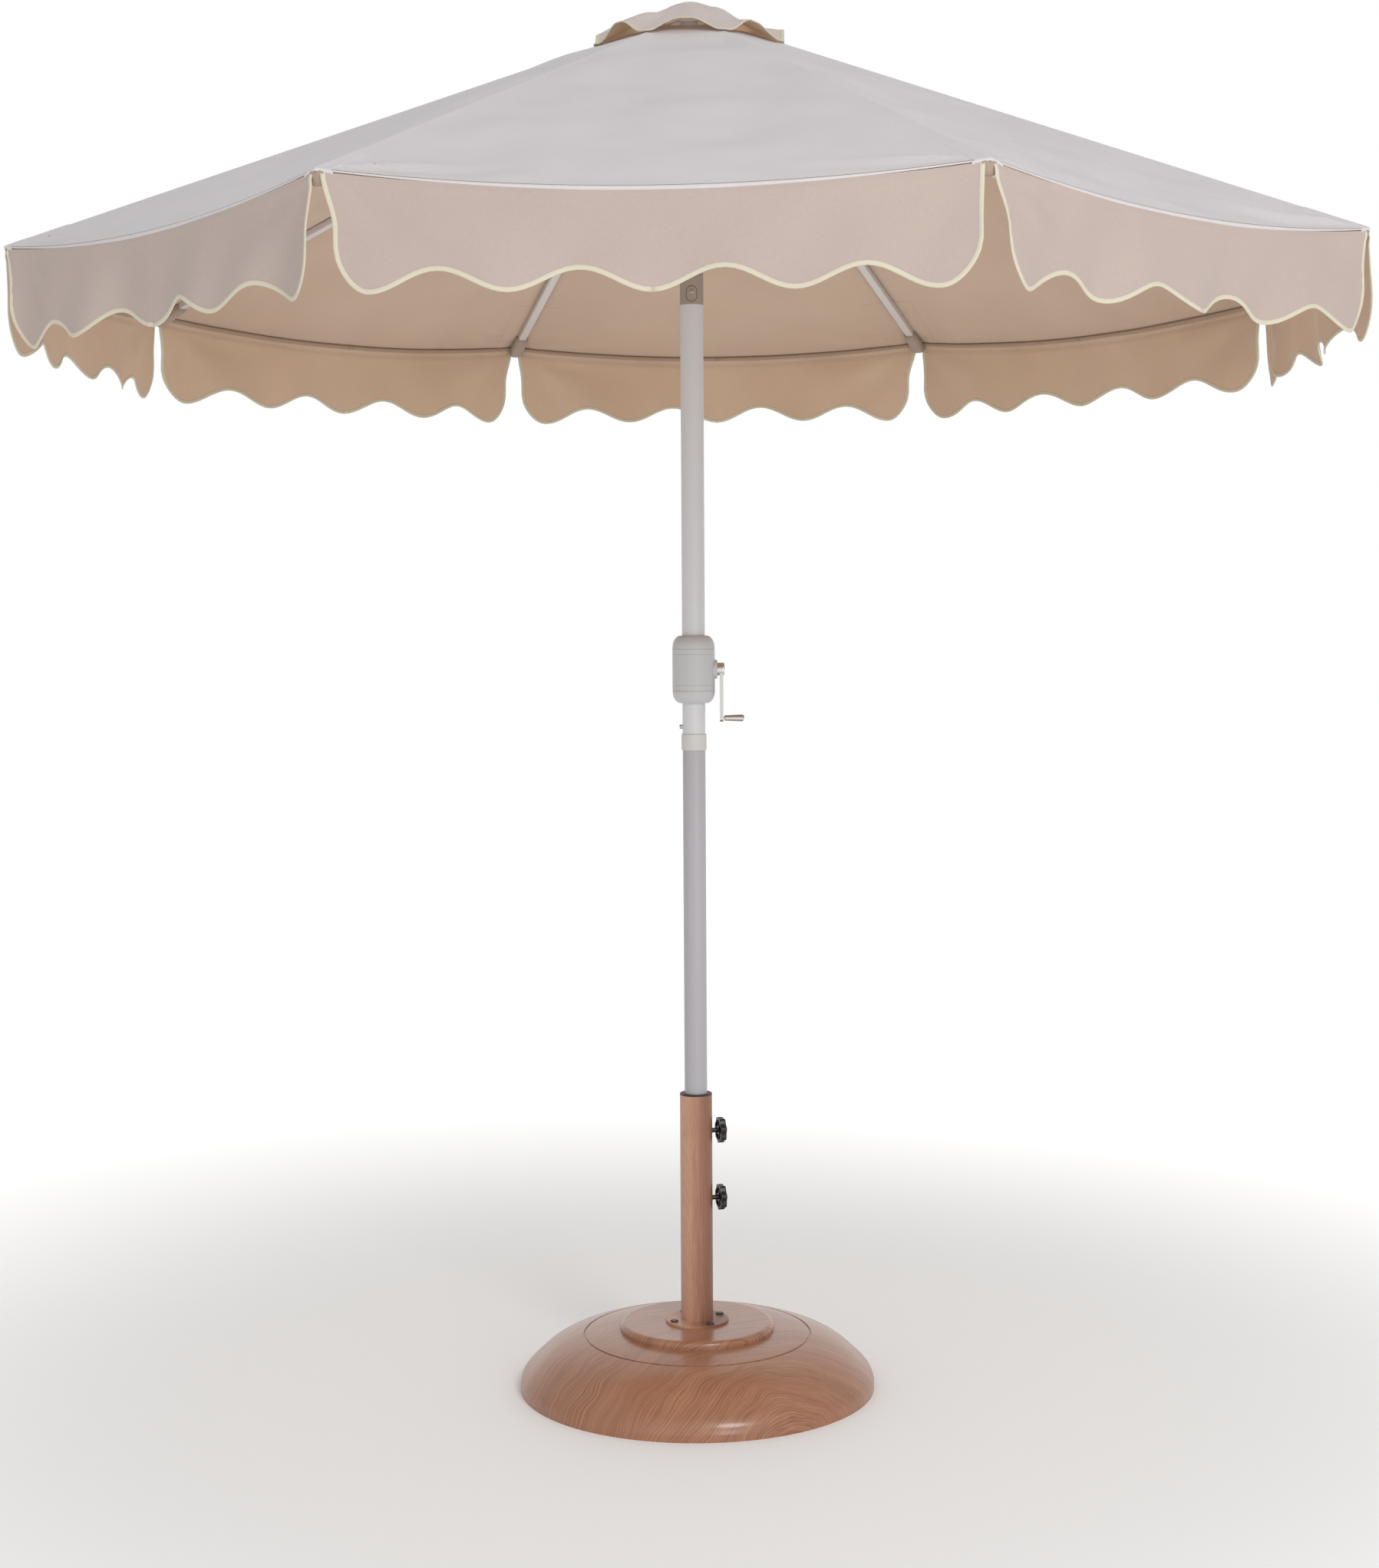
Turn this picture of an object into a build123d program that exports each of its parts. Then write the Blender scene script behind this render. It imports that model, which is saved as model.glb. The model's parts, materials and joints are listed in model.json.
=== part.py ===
from build123d import *
from math import atan2, cos, degrees, hypot, pi, radians, sin, sqrt, tan
import os

# A crank-lift patio umbrella standing in a round base.
# Millimetres and degrees, +Z up, origin at the middle of the base's underside.
# The crank and the clamp knobs point along +X, and the tilt button faces -Y.

# Base and stand
BASE_R = 298.0
BASE_WALL = 3.0
DOME_POINTS = [
    (298.0, 12.0), (291.0, 29.0), (277.5, 43.0), (254.0, 64.0), (218.0, 82.0), (178.0, 92.0), (131.0, 97.0),
]  # radius and height
DISC_R = 129.5
DISC_TOP = 110.0
DISC_EDGE = 8.0
DISC_ROOT = 60.0  # height inside the dome from which the disc is drawn
GROOVE_R = 190.0
GROOVE_WIDTH = 3.6
GROOVE_DEPTH = 1.2
FLANGE_R = 53.0
FLANGE_THICK = 4.0
BOLT_PCD = 88.0
BOLT_R = 4.0
BOLT_HEAD_R = 6.5
BOLT_HEAD_H = 3.2
BOLT_DEPTH = 34.0
BOLT_ANGLES = [-60.0, 30.0, 120.0, 210.0]
STAND_R = 27.0
STAND_INNER_R = 25.5
STAND_TOP = 496.0
SLEEVE_R = 25.4
SLEEVE_BORE_R = 19.08
SLEEVE_LOW = 452.0
SLEEVE_LIP = 2.5
KNOB_HEIGHTS = {"lower": 318.5, "upper": 433.0}
SCREW_R = 4.0
PAD_R = 3.4
NUT_R = 5.5
PAD_THICK = 3.0
KNOB_AZIMUTH = 15.0  # from +X toward +Y
KNOB_HEAD_X = (38.0, 48.5)
KNOB_HEAD_R = 20.3
KNOB_LOBE = 1.5
KNOB_LOBES = 7
KNOB_HOLLOW = (7.0, 17.0, 7.5)  # inner radius, outer radius and depth of the hollow in the knob's back
KNOB_WEB = 1.8
NUT_FLANGE_R = 8.0
NUT_X = (21.8, 23.8)  # where the nut's flange starts and ends, inside the stand tube
PLUG_DEPTH = 25.0  # of the foot's spigot in the pole
PLUG_WALL = 2.0
BEYOND = 30.0  # how far a cutting shape reaches past the metal that it cuts

# Pole
POLE_R = 19.0
POLE_INNER_R = 17.8
NECK_R = 17.7
NECK_INNER_R = 16.5
NECK_TOP = 1145.0
FOOT_Z = 114.2
FOOT_FLANGE = 3.0
COLLAR_R = 21.0
COLLAR_LOW = 1074.0
COLLAR_HIGH = 1101.0
SNAP_Z = 1113.0
SNAP_R = 3.5
SNAP_X = (-22.5, -12.0)
SNAP_NOSE_X = -24.0
UPPER_POLE_TOP = 1805.0

# Crank housing
HOUSING_R = 35.25
HOUSING_WALL = 3.0
HOUSING_END_R = POLE_R + 3.0
HOUSING_Z = [1152.0, 1172.0, 1182.0, 1233.0, 1242.5, 1264.0]
CRANK_Z = 1208.0
BOSS_R = 15.6
BOSS_X = 39.25
WINDOW = (28.0, 36.0)  # width and height of the opening in the pole for the reel
SHAFT_R = 5.0
SHAFT_IN_HUB = 8.0
REEL_SHAFT_START = -22.0
REEL_R = 13.7
REEL_FLANGE_R = 15.5
REEL_HALF = 12.0
CRANK_RADIUS = 81.0
CRANK_HUB_R = 11.0
CRANK_HUB_LENGTH = 12.0
ARM_END_R = 6.5
ARM_HALF = 9.0  # half the width of the crank arm at its hub
ARM_X = (43.0, 49.0)
ARM_GROOVE = (4.0, 2.2, 1.5)  # half widths at the hub and at the grip, and depth
ARM_GROOVE_ENDS = (16.0, 9.0)  # how far the groove stays from the two axes
GRIP_X = (50.5, 83.5)
GRIP_R = (4.75, 6.0)
GRIP_PIN_R = 2.4
GRIP_CAP = 3.5

# Tilt joint
TILT_Z = 1866.0
SOCKET_R = 19.25
SOCKET_PLUG = 40.0
TONGUE_HALF = 8.0
TONGUE_R = 13.0
EAR_R = 13.5
TILT_PIN_R = 4.0
TILT_BUTTON_Z = 1826.0
TILT_BUTTON_R = 4.0
TILT_BUTTON_Y = (-18.6, -10.0)
RECESS = (25.5, 17.5, 1.2)  # height, width and depth of the rounded recess round the tilt button
MAST_LOW = TILT_Z + 20.5
MAST_PLUG = 24.0

# Canopy frame
RIB_COUNT = 8
FIRST_RIB_AZIMUTH = -25.0
RIM_R = 1090.0
RIM_Z = 1851.0
SLOPE = 21.25
CLOSED_SLOPE = 85.0
FABRIC = 1.2
RIB_WIDTH = 16.0
RIB_HEIGHT = 12.0
RIB_WALL = 1.0
RIB_BELOW_FABRIC = 2.9
HUB_PIVOT_R = 30.0
PIN_R = 2.0
HUB_SLOT = 5.6
RUNNER_SLOT = 5.2
SLOT_ROOT_R = 23.0
SHEAVE_HALF = 4.0
SHEAVE_R = 15.0
RUNNING = 0.05
STRUT_AT = 440.0
STRUT_DROP = 14.0
BRACKET_HALF = 11.0
BRACKET_STEP = 9.0
BRACKET_R = 5.5
BRACKET_Y = (2.3, 4.3)
HUB_R = 38.0
RUNNER_BORE_R = 19.35
RUNNER_HALF = 23.0

# Canopy fabric
HALF_PANEL = 22.5
RIM_SAG = 27.0
VENT_R = 97.0
CAP_R = 165.0
CAP_TOP = 2281.0
CAP_DROP = 68.0
CAP_POWER = 1.35
CAP_LIFT = 22.0
CROWN_R = 43.0
VALANCE_DROP = 140.0
VALANCE_WAVE = 14.0
VALANCE_PITCH = 178.0
VALANCE_GAP = 12.0
VALANCE_CORNER = 55.0

# Worked out from the above
APEX_Z = RIM_Z + RIM_R * tan(radians(SLOPE))
RIB_AXIS_APEX_Z = APEX_Z - FABRIC - RIB_BELOW_FABRIC - RIB_HEIGHT / 2 / cos(radians(SLOPE))
HUB_Z = RIB_AXIS_APEX_Z - HUB_PIVOT_R * tan(radians(SLOPE))
RIB_LENGTH = (RIM_R - 8.0 - HUB_PIVOT_R) / cos(radians(SLOPE))
STRUT_LENGTH = hypot(STRUT_AT, STRUT_DROP)
STRUT_SLOPE = SLOPE + degrees(atan2(STRUT_DROP, STRUT_AT))
FOLD = CLOSED_SLOPE - SLOPE
RUNNER_Z = HUB_Z - 2 * STRUT_LENGTH * sin(radians(STRUT_SLOPE))
RUNNER_TRAVEL = HUB_Z - 2 * STRUT_LENGTH * sin(radians(STRUT_SLOPE + FOLD)) - RUNNER_Z
PULLEY_Z = HUB_Z - 36.0


def azimuth(number):
    return FIRST_RIB_AZIMUTH + (number - 1) * 360.0 / RIB_COUNT


def turned(points):
    """A solid turned about Z from (radius, height) points."""
    return revolve(make_face(Polyline(*[(r, 0, z) for r, z in points], close=True)), Axis.Z)


def ring(inner, outer, low, high):
    return turned([(inner, low), (outer, low), (outer, high), (inner, high)])


def rod_x(radius, x0, x1, z, y=0.0):
    """A round bar along X."""
    return Pos((x0 + x1) / 2, y, z) * Rot(0, 90, 0) * Cylinder(radius, abs(x1 - x0))


def rod_y(radius, y0, y1, z, x=0.0):
    """A round bar along Y."""
    return Pos(x, (y0 + y1) / 2, z) * Rot(90, 0, 0) * Cylinder(radius, abs(y1 - y0))


def block(x0, x1, y0, y1, z0, z1):
    return Pos((x0 + x1) / 2, (y0 + y1) / 2, (z0 + z1) / 2) * Box(x1 - x0, y1 - y0, z1 - z0)


def solid_from_grid(top, bottom):
    """A thin closed solid between two grids of points, from flat triangles."""
    rows, columns = len(top), len(top[0])
    faces = []

    def triangle(a, b, c):
        faces.append(Face(Wire.make_polygon([a, b, c], close=True)))

    def quad(a, b, c, d):
        triangle(a, b, c)
        triangle(a, c, d)

    for i in range(rows - 1):
        for j in range(columns - 1):
            quad(top[i][j], top[i + 1][j], top[i + 1][j + 1], top[i][j + 1])
            quad(bottom[i][j], bottom[i][j + 1], bottom[i + 1][j + 1], bottom[i + 1][j])
    for i in range(rows - 1):
        for j in (0, columns - 1):
            quad(top[i][j], bottom[i][j], bottom[i + 1][j], top[i + 1][j])
    for j in range(columns - 1):
        for i in (0, rows - 1):
            quad(top[i][j], top[i][j + 1], bottom[i][j + 1], bottom[i][j])
    return Solid(Shell(faces))


def at_rib(shape, number):
    """Turn a shape made along +X to the azimuth of a rib."""
    return Rot(0, 0, azimuth(number) - 90.0) * shape


# Base


def dome(inset):
    """The base's outer form, or the same form drawn in by the wall."""
    points = [(r - inset, z - inset) for r, z in DOME_POINTS]
    outline = [
        Spline(*[(r, 0, z) for r, z in points]),
        Polyline(
            (BASE_R - inset, 0, points[0][1]), (BASE_R - inset, 0, 0), (0, 0, 0),
            (0, 0, points[-1][1]), (points[-1][0], 0, points[-1][1]),
        ),
    ]
    disc_top = DISC_TOP - inset
    disc = Pos(0, 0, (DISC_ROOT + disc_top) / 2) * Cylinder(DISC_R - inset, disc_top - DISC_ROOT)
    disc = fillet(disc.edges().group_by(Axis.Z)[-1], DISC_EDGE - inset / 2)
    return revolve(make_face(outline), Axis.Z) + disc


def bolt_holes(radius, low, high):
    return [
        Pos(BOLT_PCD / 2 * cos(radians(a)), BOLT_PCD / 2 * sin(radians(a)), (low + high) / 2)
        * Cylinder(radius, high - low)
        for a in BOLT_ANGLES
    ]


def base_ballast():
    return dome(BASE_WALL) - bolt_holes(BOLT_R, DISC_TOP - BOLT_DEPTH, DISC_TOP)


def base_shell():
    band = ring(GROOVE_R - GROOVE_WIDTH / 2, GROOVE_R + GROOVE_WIDTH / 2, DISC_ROOT, DISC_TOP)
    shell = dome(0) - dome(BASE_WALL) - (band - dome(GROOVE_DEPTH))
    return shell - bolt_holes(BOLT_R, DISC_TOP - BOLT_DEPTH, DISC_TOP + 1)


def stand_tube():
    plate_top = DISC_TOP + FLANGE_THICK
    plate = Pos(0, 0, DISC_TOP + FLANGE_THICK / 2) * Cylinder(FLANGE_R, FLANGE_THICK)
    plate = fillet(plate.edges().group_by(Axis.Z)[-1], 1.2)
    tube = ring(STAND_INNER_R, STAND_R, plate_top, STAND_TOP)
    holes = [at_knobs(rod_x(NUT_R, STAND_INNER_R - NUT_R, BEYOND, z)) for z in KNOB_HEIGHTS.values()]
    return plate + tube - holes - bolt_holes(BOLT_R, DISC_TOP - 1, plate_top + 1)


def flange_bolts():
    plate_top = DISC_TOP + FLANGE_THICK
    shanks = bolt_holes(BOLT_R, DISC_TOP - BOLT_DEPTH, plate_top + 1)
    bolts = []
    for shank, a in zip(shanks, BOLT_ANGLES):
        x, y = BOLT_PCD / 2 * cos(radians(a)), BOLT_PCD / 2 * sin(radians(a))
        head = Pos(x, y, plate_top) * extrude(RegularPolygon(BOLT_HEAD_R, 6), BOLT_HEAD_H)
        head = chamfer(head.edges().group_by(Axis.Z)[-1], 0.8)
        bolts.append(shank + head)
    return Compound(children=[b.solid() if not isinstance(b, Solid) else b for b in bolts])


def at_knobs(shape):
    """Turn a shape made along +X to the side that the clamp knobs are on."""
    return Rot(0, 0, KNOB_AZIMUTH) * shape


def knob_nuts():
    nuts = []
    for z in KNOB_HEIGHTS.values():
        flange = rod_x(NUT_FLANGE_R, *NUT_X, z)
        barrel = rod_x(NUT_R, NUT_X[0], BEYOND, z) & (Pos(0, 0, z) * Cylinder(STAND_R, 4 * NUT_R))
        nuts.append(at_knobs(flange + barrel - rod_x(SCREW_R + RUNNING, NUT_X[0] - 1, BEYOND, z)).solid())
    return Compound(children=nuts)


def reducer_sleeve():
    lip_top = STAND_TOP + SLEEVE_LIP
    sleeve = turned([
        (SLEEVE_BORE_R, SLEEVE_LOW), (SLEEVE_R, SLEEVE_LOW), (SLEEVE_R, STAND_TOP), (STAND_R, STAND_TOP),
        (STAND_R, lip_top - 0.8), (STAND_R - 0.8, lip_top), (SLEEVE_BORE_R, lip_top),
    ])
    return sleeve


def clamp_pad(which):
    z = KNOB_HEIGHTS[which]
    start = POLE_R + RUNNING
    return at_knobs(rod_x(PAD_R, start, start + PAD_THICK, z))


def clamp_knob(which):
    z = KNOB_HEIGHTS[which]
    tip = POLE_R + RUNNING + PAD_THICK
    head_x, face_x = KNOB_HEAD_X
    count = 6 * KNOB_LOBES
    angles = [360.0 * k / count for k in range(count)]
    radii = [KNOB_HEAD_R + KNOB_LOBE * cos(radians(KNOB_LOBES * a)) for a in angles]
    points = [(r * cos(radians(a)), r * sin(radians(a))) for r, a in zip(radii, angles)]
    head = extrude(make_face(Spline(*points, periodic=True)), face_x - head_x)
    head = fillet(head.edges().group_by(Axis.Z)[-1], 2.0)
    inner, outer, depth = KNOB_HOLLOW
    web = block(inner - 1, outer + 1, -KNOB_WEB / 2, KNOB_WEB / 2, 1.0, depth + 0.5)
    webs = [Rot(0, 0, 360.0 * k / KNOB_LOBES) * web for k in range(KNOB_LOBES)]
    head = Pos(head_x, 0, z) * Rot(0, 90, 0) * (head - ring(inner, outer, -1.0, depth) + webs)
    return at_knobs(rod_x(SCREW_R, tip, head_x + 2, z) + head)


# Pole


def lower_pole():
    low = FOOT_Z + FOOT_FLANGE
    tube = turned([
        (NECK_INNER_R, low), (POLE_R, low), (POLE_R, COLLAR_LOW), (NECK_R, COLLAR_LOW), (NECK_R, NECK_TOP),
        (NECK_INNER_R, NECK_TOP),
    ])
    return tube - rod_x(SNAP_R + RUNNING, -BEYOND, SNAP_X[1], SNAP_Z)


def pole_foot():
    top = FOOT_Z + FOOT_FLANGE
    return turned([
        (0, FOOT_Z), (POLE_R - 0.6, FOOT_Z), (POLE_R, FOOT_Z + 0.6), (POLE_R, top), (NECK_INNER_R, top),
        (NECK_INNER_R, top + PLUG_DEPTH), (NECK_INNER_R - PLUG_WALL, top + PLUG_DEPTH),
        (NECK_INNER_R - PLUG_WALL, top), (0, top),
    ])


def joint_collar():
    return turned([
        (NECK_R, COLLAR_LOW), (COLLAR_R - 0.8, COLLAR_LOW), (COLLAR_R, COLLAR_LOW + 0.8),
        (COLLAR_R, COLLAR_HIGH - 0.8), (COLLAR_R - 0.8, COLLAR_HIGH), (NECK_R, COLLAR_HIGH),
    ])


def snap_button():
    stem = rod_x(SNAP_R, *SNAP_X, SNAP_Z)
    nose = Pos(SNAP_X[0], 0, SNAP_Z) * Sphere(SNAP_R)
    keep = 2 * SNAP_R
    return stem + (nose & block(SNAP_NOSE_X, SNAP_X[0] + 0.5, -keep, keep, SNAP_Z - keep, SNAP_Z + keep))


def upper_pole():
    tube = ring(POLE_INNER_R, POLE_R, COLLAR_HIGH, UPPER_POLE_TOP)
    width, height = WINDOW
    window = block(-width / 2, width / 2, -BEYOND, BEYOND, CRANK_Z - height / 2, CRANK_Z + height / 2)
    shaft_hole = rod_x(SHAFT_R + RUNNING, -BEYOND, BEYOND, CRANK_Z)
    return tube - window - shaft_hole - rod_x(SNAP_R + RUNNING, -BEYOND, SNAP_X[1], SNAP_Z)


def housing_cap(z_end, z_groove, z_seam):
    """One domed end of the crank housing, from its narrow end to the seam with the shell."""
    toward = 1.0 if z_seam > z_end else -1.0
    inner = HOUSING_R - HOUSING_WALL
    points = []
    steps = 10
    for k in range(steps + 1):
        a = radians(90.0 * k / steps)
        radius = HOUSING_END_R + (HOUSING_R - HOUSING_END_R) * sin(a)
        points.append((radius, z_groove - toward * abs(z_groove - z_end) * cos(a)))
    points += [(HOUSING_R - 0.8, z_groove + toward * 0.6), (HOUSING_R, z_groove + toward * 1.2)]
    points += [(HOUSING_R, z_seam - toward * 0.5), (HOUSING_R - 0.5, z_seam), (inner, z_seam)]
    points += [(inner, z_groove + toward * 1.0), (POLE_R, z_end + toward * 6.0), (POLE_R, z_end)]
    return turned(points)


def housing_caps():
    low, high = HOUSING_Z[:3], HOUSING_Z[:2:-1]
    return Compound(children=[housing_cap(*low).solid(), housing_cap(*high).solid()])


def housing_shell():
    low, high = HOUSING_Z[2], HOUSING_Z[3]
    inner = HOUSING_R - HOUSING_WALL
    shell = turned([
        (inner, low), (HOUSING_R - 0.5, low), (HOUSING_R, low + 0.5), (HOUSING_R, high - 0.5),
        (HOUSING_R - 0.5, high), (inner, high),
    ])
    boss = rod_x(BOSS_R, inner - 4, BOSS_X, CRANK_Z)
    boss = fillet(boss.edges().group_by(Axis.X)[-1], 1.2)
    boss = boss - ring(0.01, inner, low, high)
    return shell + boss - rod_x(SHAFT_R + RUNNING, 25, BOSS_X + 1, CRANK_Z)


def cord_reel():
    drum = rod_x(REEL_R, -REEL_HALF, REEL_HALF, CRANK_Z)
    flanges = [rod_x(REEL_FLANGE_R, x - 1, x + 1, CRANK_Z) for x in (1 - REEL_HALF, REEL_HALF - 1)]
    return drum + flanges + rod_x(SHAFT_R, REEL_SHAFT_START, BOSS_X + SHAFT_IN_HUB, CRANK_Z)


def tapered_face(half_width, z, far_half_width, far_z):
    """A face in the YZ plane between two heights, with a width at each."""
    corners = [(-half_width, z), (half_width, z), (far_half_width, far_z), (-far_half_width, far_z)]
    return make_face(Polyline(*[(0, y, height) for y, height in corners], close=True))


def crank_arm():
    hub = rod_x(CRANK_HUB_R, BOSS_X + 0.1, BOSS_X + CRANK_HUB_LENGTH, CRANK_Z)
    hub = fillet(hub.edges().group_by(Axis.X)[-1], 2.5)
    end_z = CRANK_Z - CRANK_RADIUS
    arm_face = tapered_face(ARM_HALF, CRANK_Z, ARM_END_R, end_z)
    arm = Pos(ARM_X[0], 0, 0) * extrude(arm_face, ARM_X[1] - ARM_X[0], dir=(1, 0, 0))
    end = rod_x(ARM_END_R, ARM_X[0], ARM_X[1], end_z)
    half_at_hub, half_at_grip, depth = ARM_GROOVE
    groove_high = CRANK_Z - ARM_GROOVE_ENDS[0]
    groove_low = end_z + ARM_GROOVE_ENDS[1]
    groove_face = tapered_face(half_at_hub, groove_high, half_at_grip, groove_low)
    groove = Pos(ARM_X[1], 0, 0) * extrude(groove_face, depth, dir=(-1, 0, 0))
    pin = rod_x(GRIP_PIN_R, ARM_X[1] - 1, GRIP_X[1] - 4, end_z)
    crank = hub + arm + end - groove + pin
    return crank - rod_x(SHAFT_R, BOSS_X - 1, BOSS_X + SHAFT_IN_HUB, CRANK_Z)


def crank_grip():
    z = CRANK_Z - CRANK_RADIUS
    start, end = GRIP_X
    bore = GRIP_PIN_R + RUNNING
    profile = Polyline(
        (bore, start), (GRIP_R[0] - 0.6, start), (GRIP_R[0], start + 0.6), (GRIP_R[1], end - 2.5),
        (GRIP_R[1] - 1.8, end), (0, end), (0, end - GRIP_CAP), (bore, end - GRIP_CAP), close=True,
    )
    grip = revolve(Plane.XZ * make_face(profile), Axis.Z)
    return Pos(0, 0, z) * Rot(0, 90, 0) * grip


def tilt_socket():
    low = UPPER_POLE_TOP
    floor = TILT_Z - TONGUE_R - 1.0
    plug = Pos(0, 0, low - SOCKET_PLUG / 2) * Cylinder(POLE_INNER_R - 0.02, SOCKET_PLUG)
    body = Pos(0, 0, (low + floor) / 2) * Cylinder(SOCKET_R, floor - low)
    ears = Pos(0, 0, (floor + TILT_Z) / 2) * Cylinder(SOCKET_R, TILT_Z - floor)
    ears = ears & block(-BEYOND, BEYOND, -EAR_R, EAR_R, floor - 5, TILT_Z)
    tops = rod_x(EAR_R, -SOCKET_R, SOCKET_R, TILT_Z) & (Pos(0, 0, TILT_Z) * Cylinder(SOCKET_R, 2 * BEYOND))
    slot_half = TONGUE_HALF + 0.2
    slot = block(-slot_half, slot_half, -BEYOND, BEYOND, floor, TILT_Z + BEYOND)
    height, width, depth = RECESS
    front = Plane.XZ.offset(SOCKET_R - depth)
    recess = extrude(front * Pos(0, TILT_BUTTON_Z - 4) * SlotOverall(height, width, rotation=90), 2 * depth)
    core = plug + body + ears + tops - slot - recess
    core = core - rod_y(TILT_BUTTON_R + RUNNING, -BEYOND, TILT_BUTTON_Y[1] + 4, TILT_BUTTON_Z)
    return core - rod_x(TILT_PIN_R, -BEYOND, BEYOND, TILT_Z)


def tilt_pin():
    return rod_x(TILT_PIN_R, -SOCKET_R + 0.6, SOCKET_R - 0.6, TILT_Z)


def tilt_button():
    button = rod_y(TILT_BUTTON_R, *TILT_BUTTON_Y, TILT_BUTTON_Z)
    return fillet(button.edges().group_by(Axis.Y)[0], 1.2)


# Canopy frame


def head_mast():
    top = HUB_Z - 2.0
    tube = ring(POLE_INNER_R, POLE_R, MAST_LOW, top)
    plug = ring(0.0, POLE_INNER_R, MAST_LOW, MAST_LOW + MAST_PLUG)
    tongue = block(-TONGUE_HALF, TONGUE_HALF, -TONGUE_R, TONGUE_R, TILT_Z, MAST_LOW + 2)
    tongue = tongue + rod_x(TONGUE_R, -TONGUE_HALF, TONGUE_HALF, TILT_Z)
    mast = tube + plug + tongue - rod_x(TILT_PIN_R + RUNNING, -BEYOND, BEYOND, TILT_Z)
    return mast - rod_x(PIN_R + RUNNING, -BEYOND, BEYOND, PULLEY_Z)


def cord_pulley():
    half, lip, root = SHEAVE_HALF, SHEAVE_HALF - 0.8, SHEAVE_R - 3.3
    profile = [(0, -half), (SHEAVE_R, -half), (SHEAVE_R, -lip), (root, -1), (root, 1)]
    profile += [(SHEAVE_R, lip), (SHEAVE_R, half), (0, half)]
    sheave = Pos(0, 0, PULLEY_Z) * Rot(0, 90, 0) * turned(profile)
    return sheave + rod_x(PIN_R, -POLE_R, POLE_R, PULLEY_Z)


def top_hub():
    low, high = HUB_Z - 16.0, HUB_Z + 9.0
    body = turned([
        (POLE_R, low), (HUB_R - 1.5, low), (HUB_R, low + 1.5), (HUB_R, high - 3), (HUB_R - 3, high),
        (10, high), (8, CAP_TOP - 8), (0, CAP_TOP - 7), (0, HUB_Z - 2.0), (POLE_R, HUB_Z - 2.0),
    ])
    for number in range(1, RIB_COUNT + 1):
        slot = block(SLOT_ROOT_R, HUB_R + 5, -HUB_SLOT / 2, HUB_SLOT / 2, low - 1, HUB_Z + 7)
        pin = rod_y(PIN_R, -5.0, 5.0, HUB_Z, HUB_PIVOT_R)
        body = body - at_rib(slot, number) + at_rib(pin, number)
    return body


def vent_crown():
    steps = 6
    radii = [CROWN_R * k / steps for k in range(steps + 1)]
    top = [(r, CAP_TOP - CAP_DROP * (r / CAP_R) ** CAP_POWER) for r in radii]
    return turned(top + [(r, z - FABRIC) for r, z in reversed(top)])


def runner():
    low, high = RUNNER_Z - RUNNER_HALF, RUNNER_Z + RUNNER_HALF
    body = turned([
        (RUNNER_BORE_R, low), (HUB_R - 2, low), (HUB_R, low + 2), (HUB_R, high - 2), (HUB_R - 2, high),
        (RUNNER_BORE_R, high),
    ])
    for number in range(1, RIB_COUNT + 1):
        slot = block(SLOT_ROOT_R, HUB_R + 5, -RUNNER_SLOT / 2, RUNNER_SLOT / 2, low - 1, high + 1)
        body = body - at_rib(slot, number)
    return body


def blade(x0, x1, half_width, half_height, round_at):
    bar = block(x0, x1, -half_width, half_width, -half_height, half_height)
    return bar + rod_y(half_height, -half_width, half_width, 0, round_at)


def box_tube(x0, x1, width, height):
    """A rectangular tube along X with rounded corners."""
    outer = block(x0, x1, -width / 2, width / 2, -height / 2, height / 2)
    outer = fillet(outer.edges().filter_by(Axis.X), 2.5)
    inner = block(x0 - 1, x1 + 1, -width / 2 + RIB_WALL, width / 2 - RIB_WALL,
                  -height / 2 + RIB_WALL, height / 2 - RIB_WALL)
    return outer - fillet(inner.edges().filter_by(Axis.X), 1.5)


def rib(number):
    """A rib with its hub blade, its strut bracket and its end plug, made along +X from the hub pin."""
    hub_blade = blade(0, 70, 2.5, 6.0, 0)
    tube_end = RIB_LENGTH - 12.0
    rail = box_tube(52, tube_end, RIB_WIDTH, RIB_HEIGHT)
    ears = []
    for side in (-1, 1):
        y0, y1 = sorted(side * y for y in BRACKET_Y)
        under = 0.5 - RIB_HEIGHT / 2
        foot = block(STRUT_AT - BRACKET_HALF, STRUT_AT + BRACKET_HALF, y0, y1, -BRACKET_STEP, under)
        ear = block(STRUT_AT - BRACKET_R, STRUT_AT + BRACKET_R, y0, y1, -STRUT_DROP, under)
        nose = rod_y(BRACKET_R, y0, y1, -STRUT_DROP, STRUT_AT)
        ears.append(foot + ear + nose)
    metal = hub_blade + rail + ears
    for x, z in ((0, 0), (STRUT_AT, -STRUT_DROP)):
        metal = metal - rod_y(PIN_R + RUNNING, -BEYOND, BEYOND, z, x)
    plug = block(tube_end, RIB_LENGTH, -7, 7, -5.2, 5.2)
    plug = fillet(plug.edges().group_by(Axis.X)[-1], 3.0)
    both = Compound(children=[metal.solid(), plug.solid()])
    return at_rib(Pos(HUB_PIVOT_R, 0, HUB_Z) * Rot(0, SLOPE, 0) * both, number)


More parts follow.
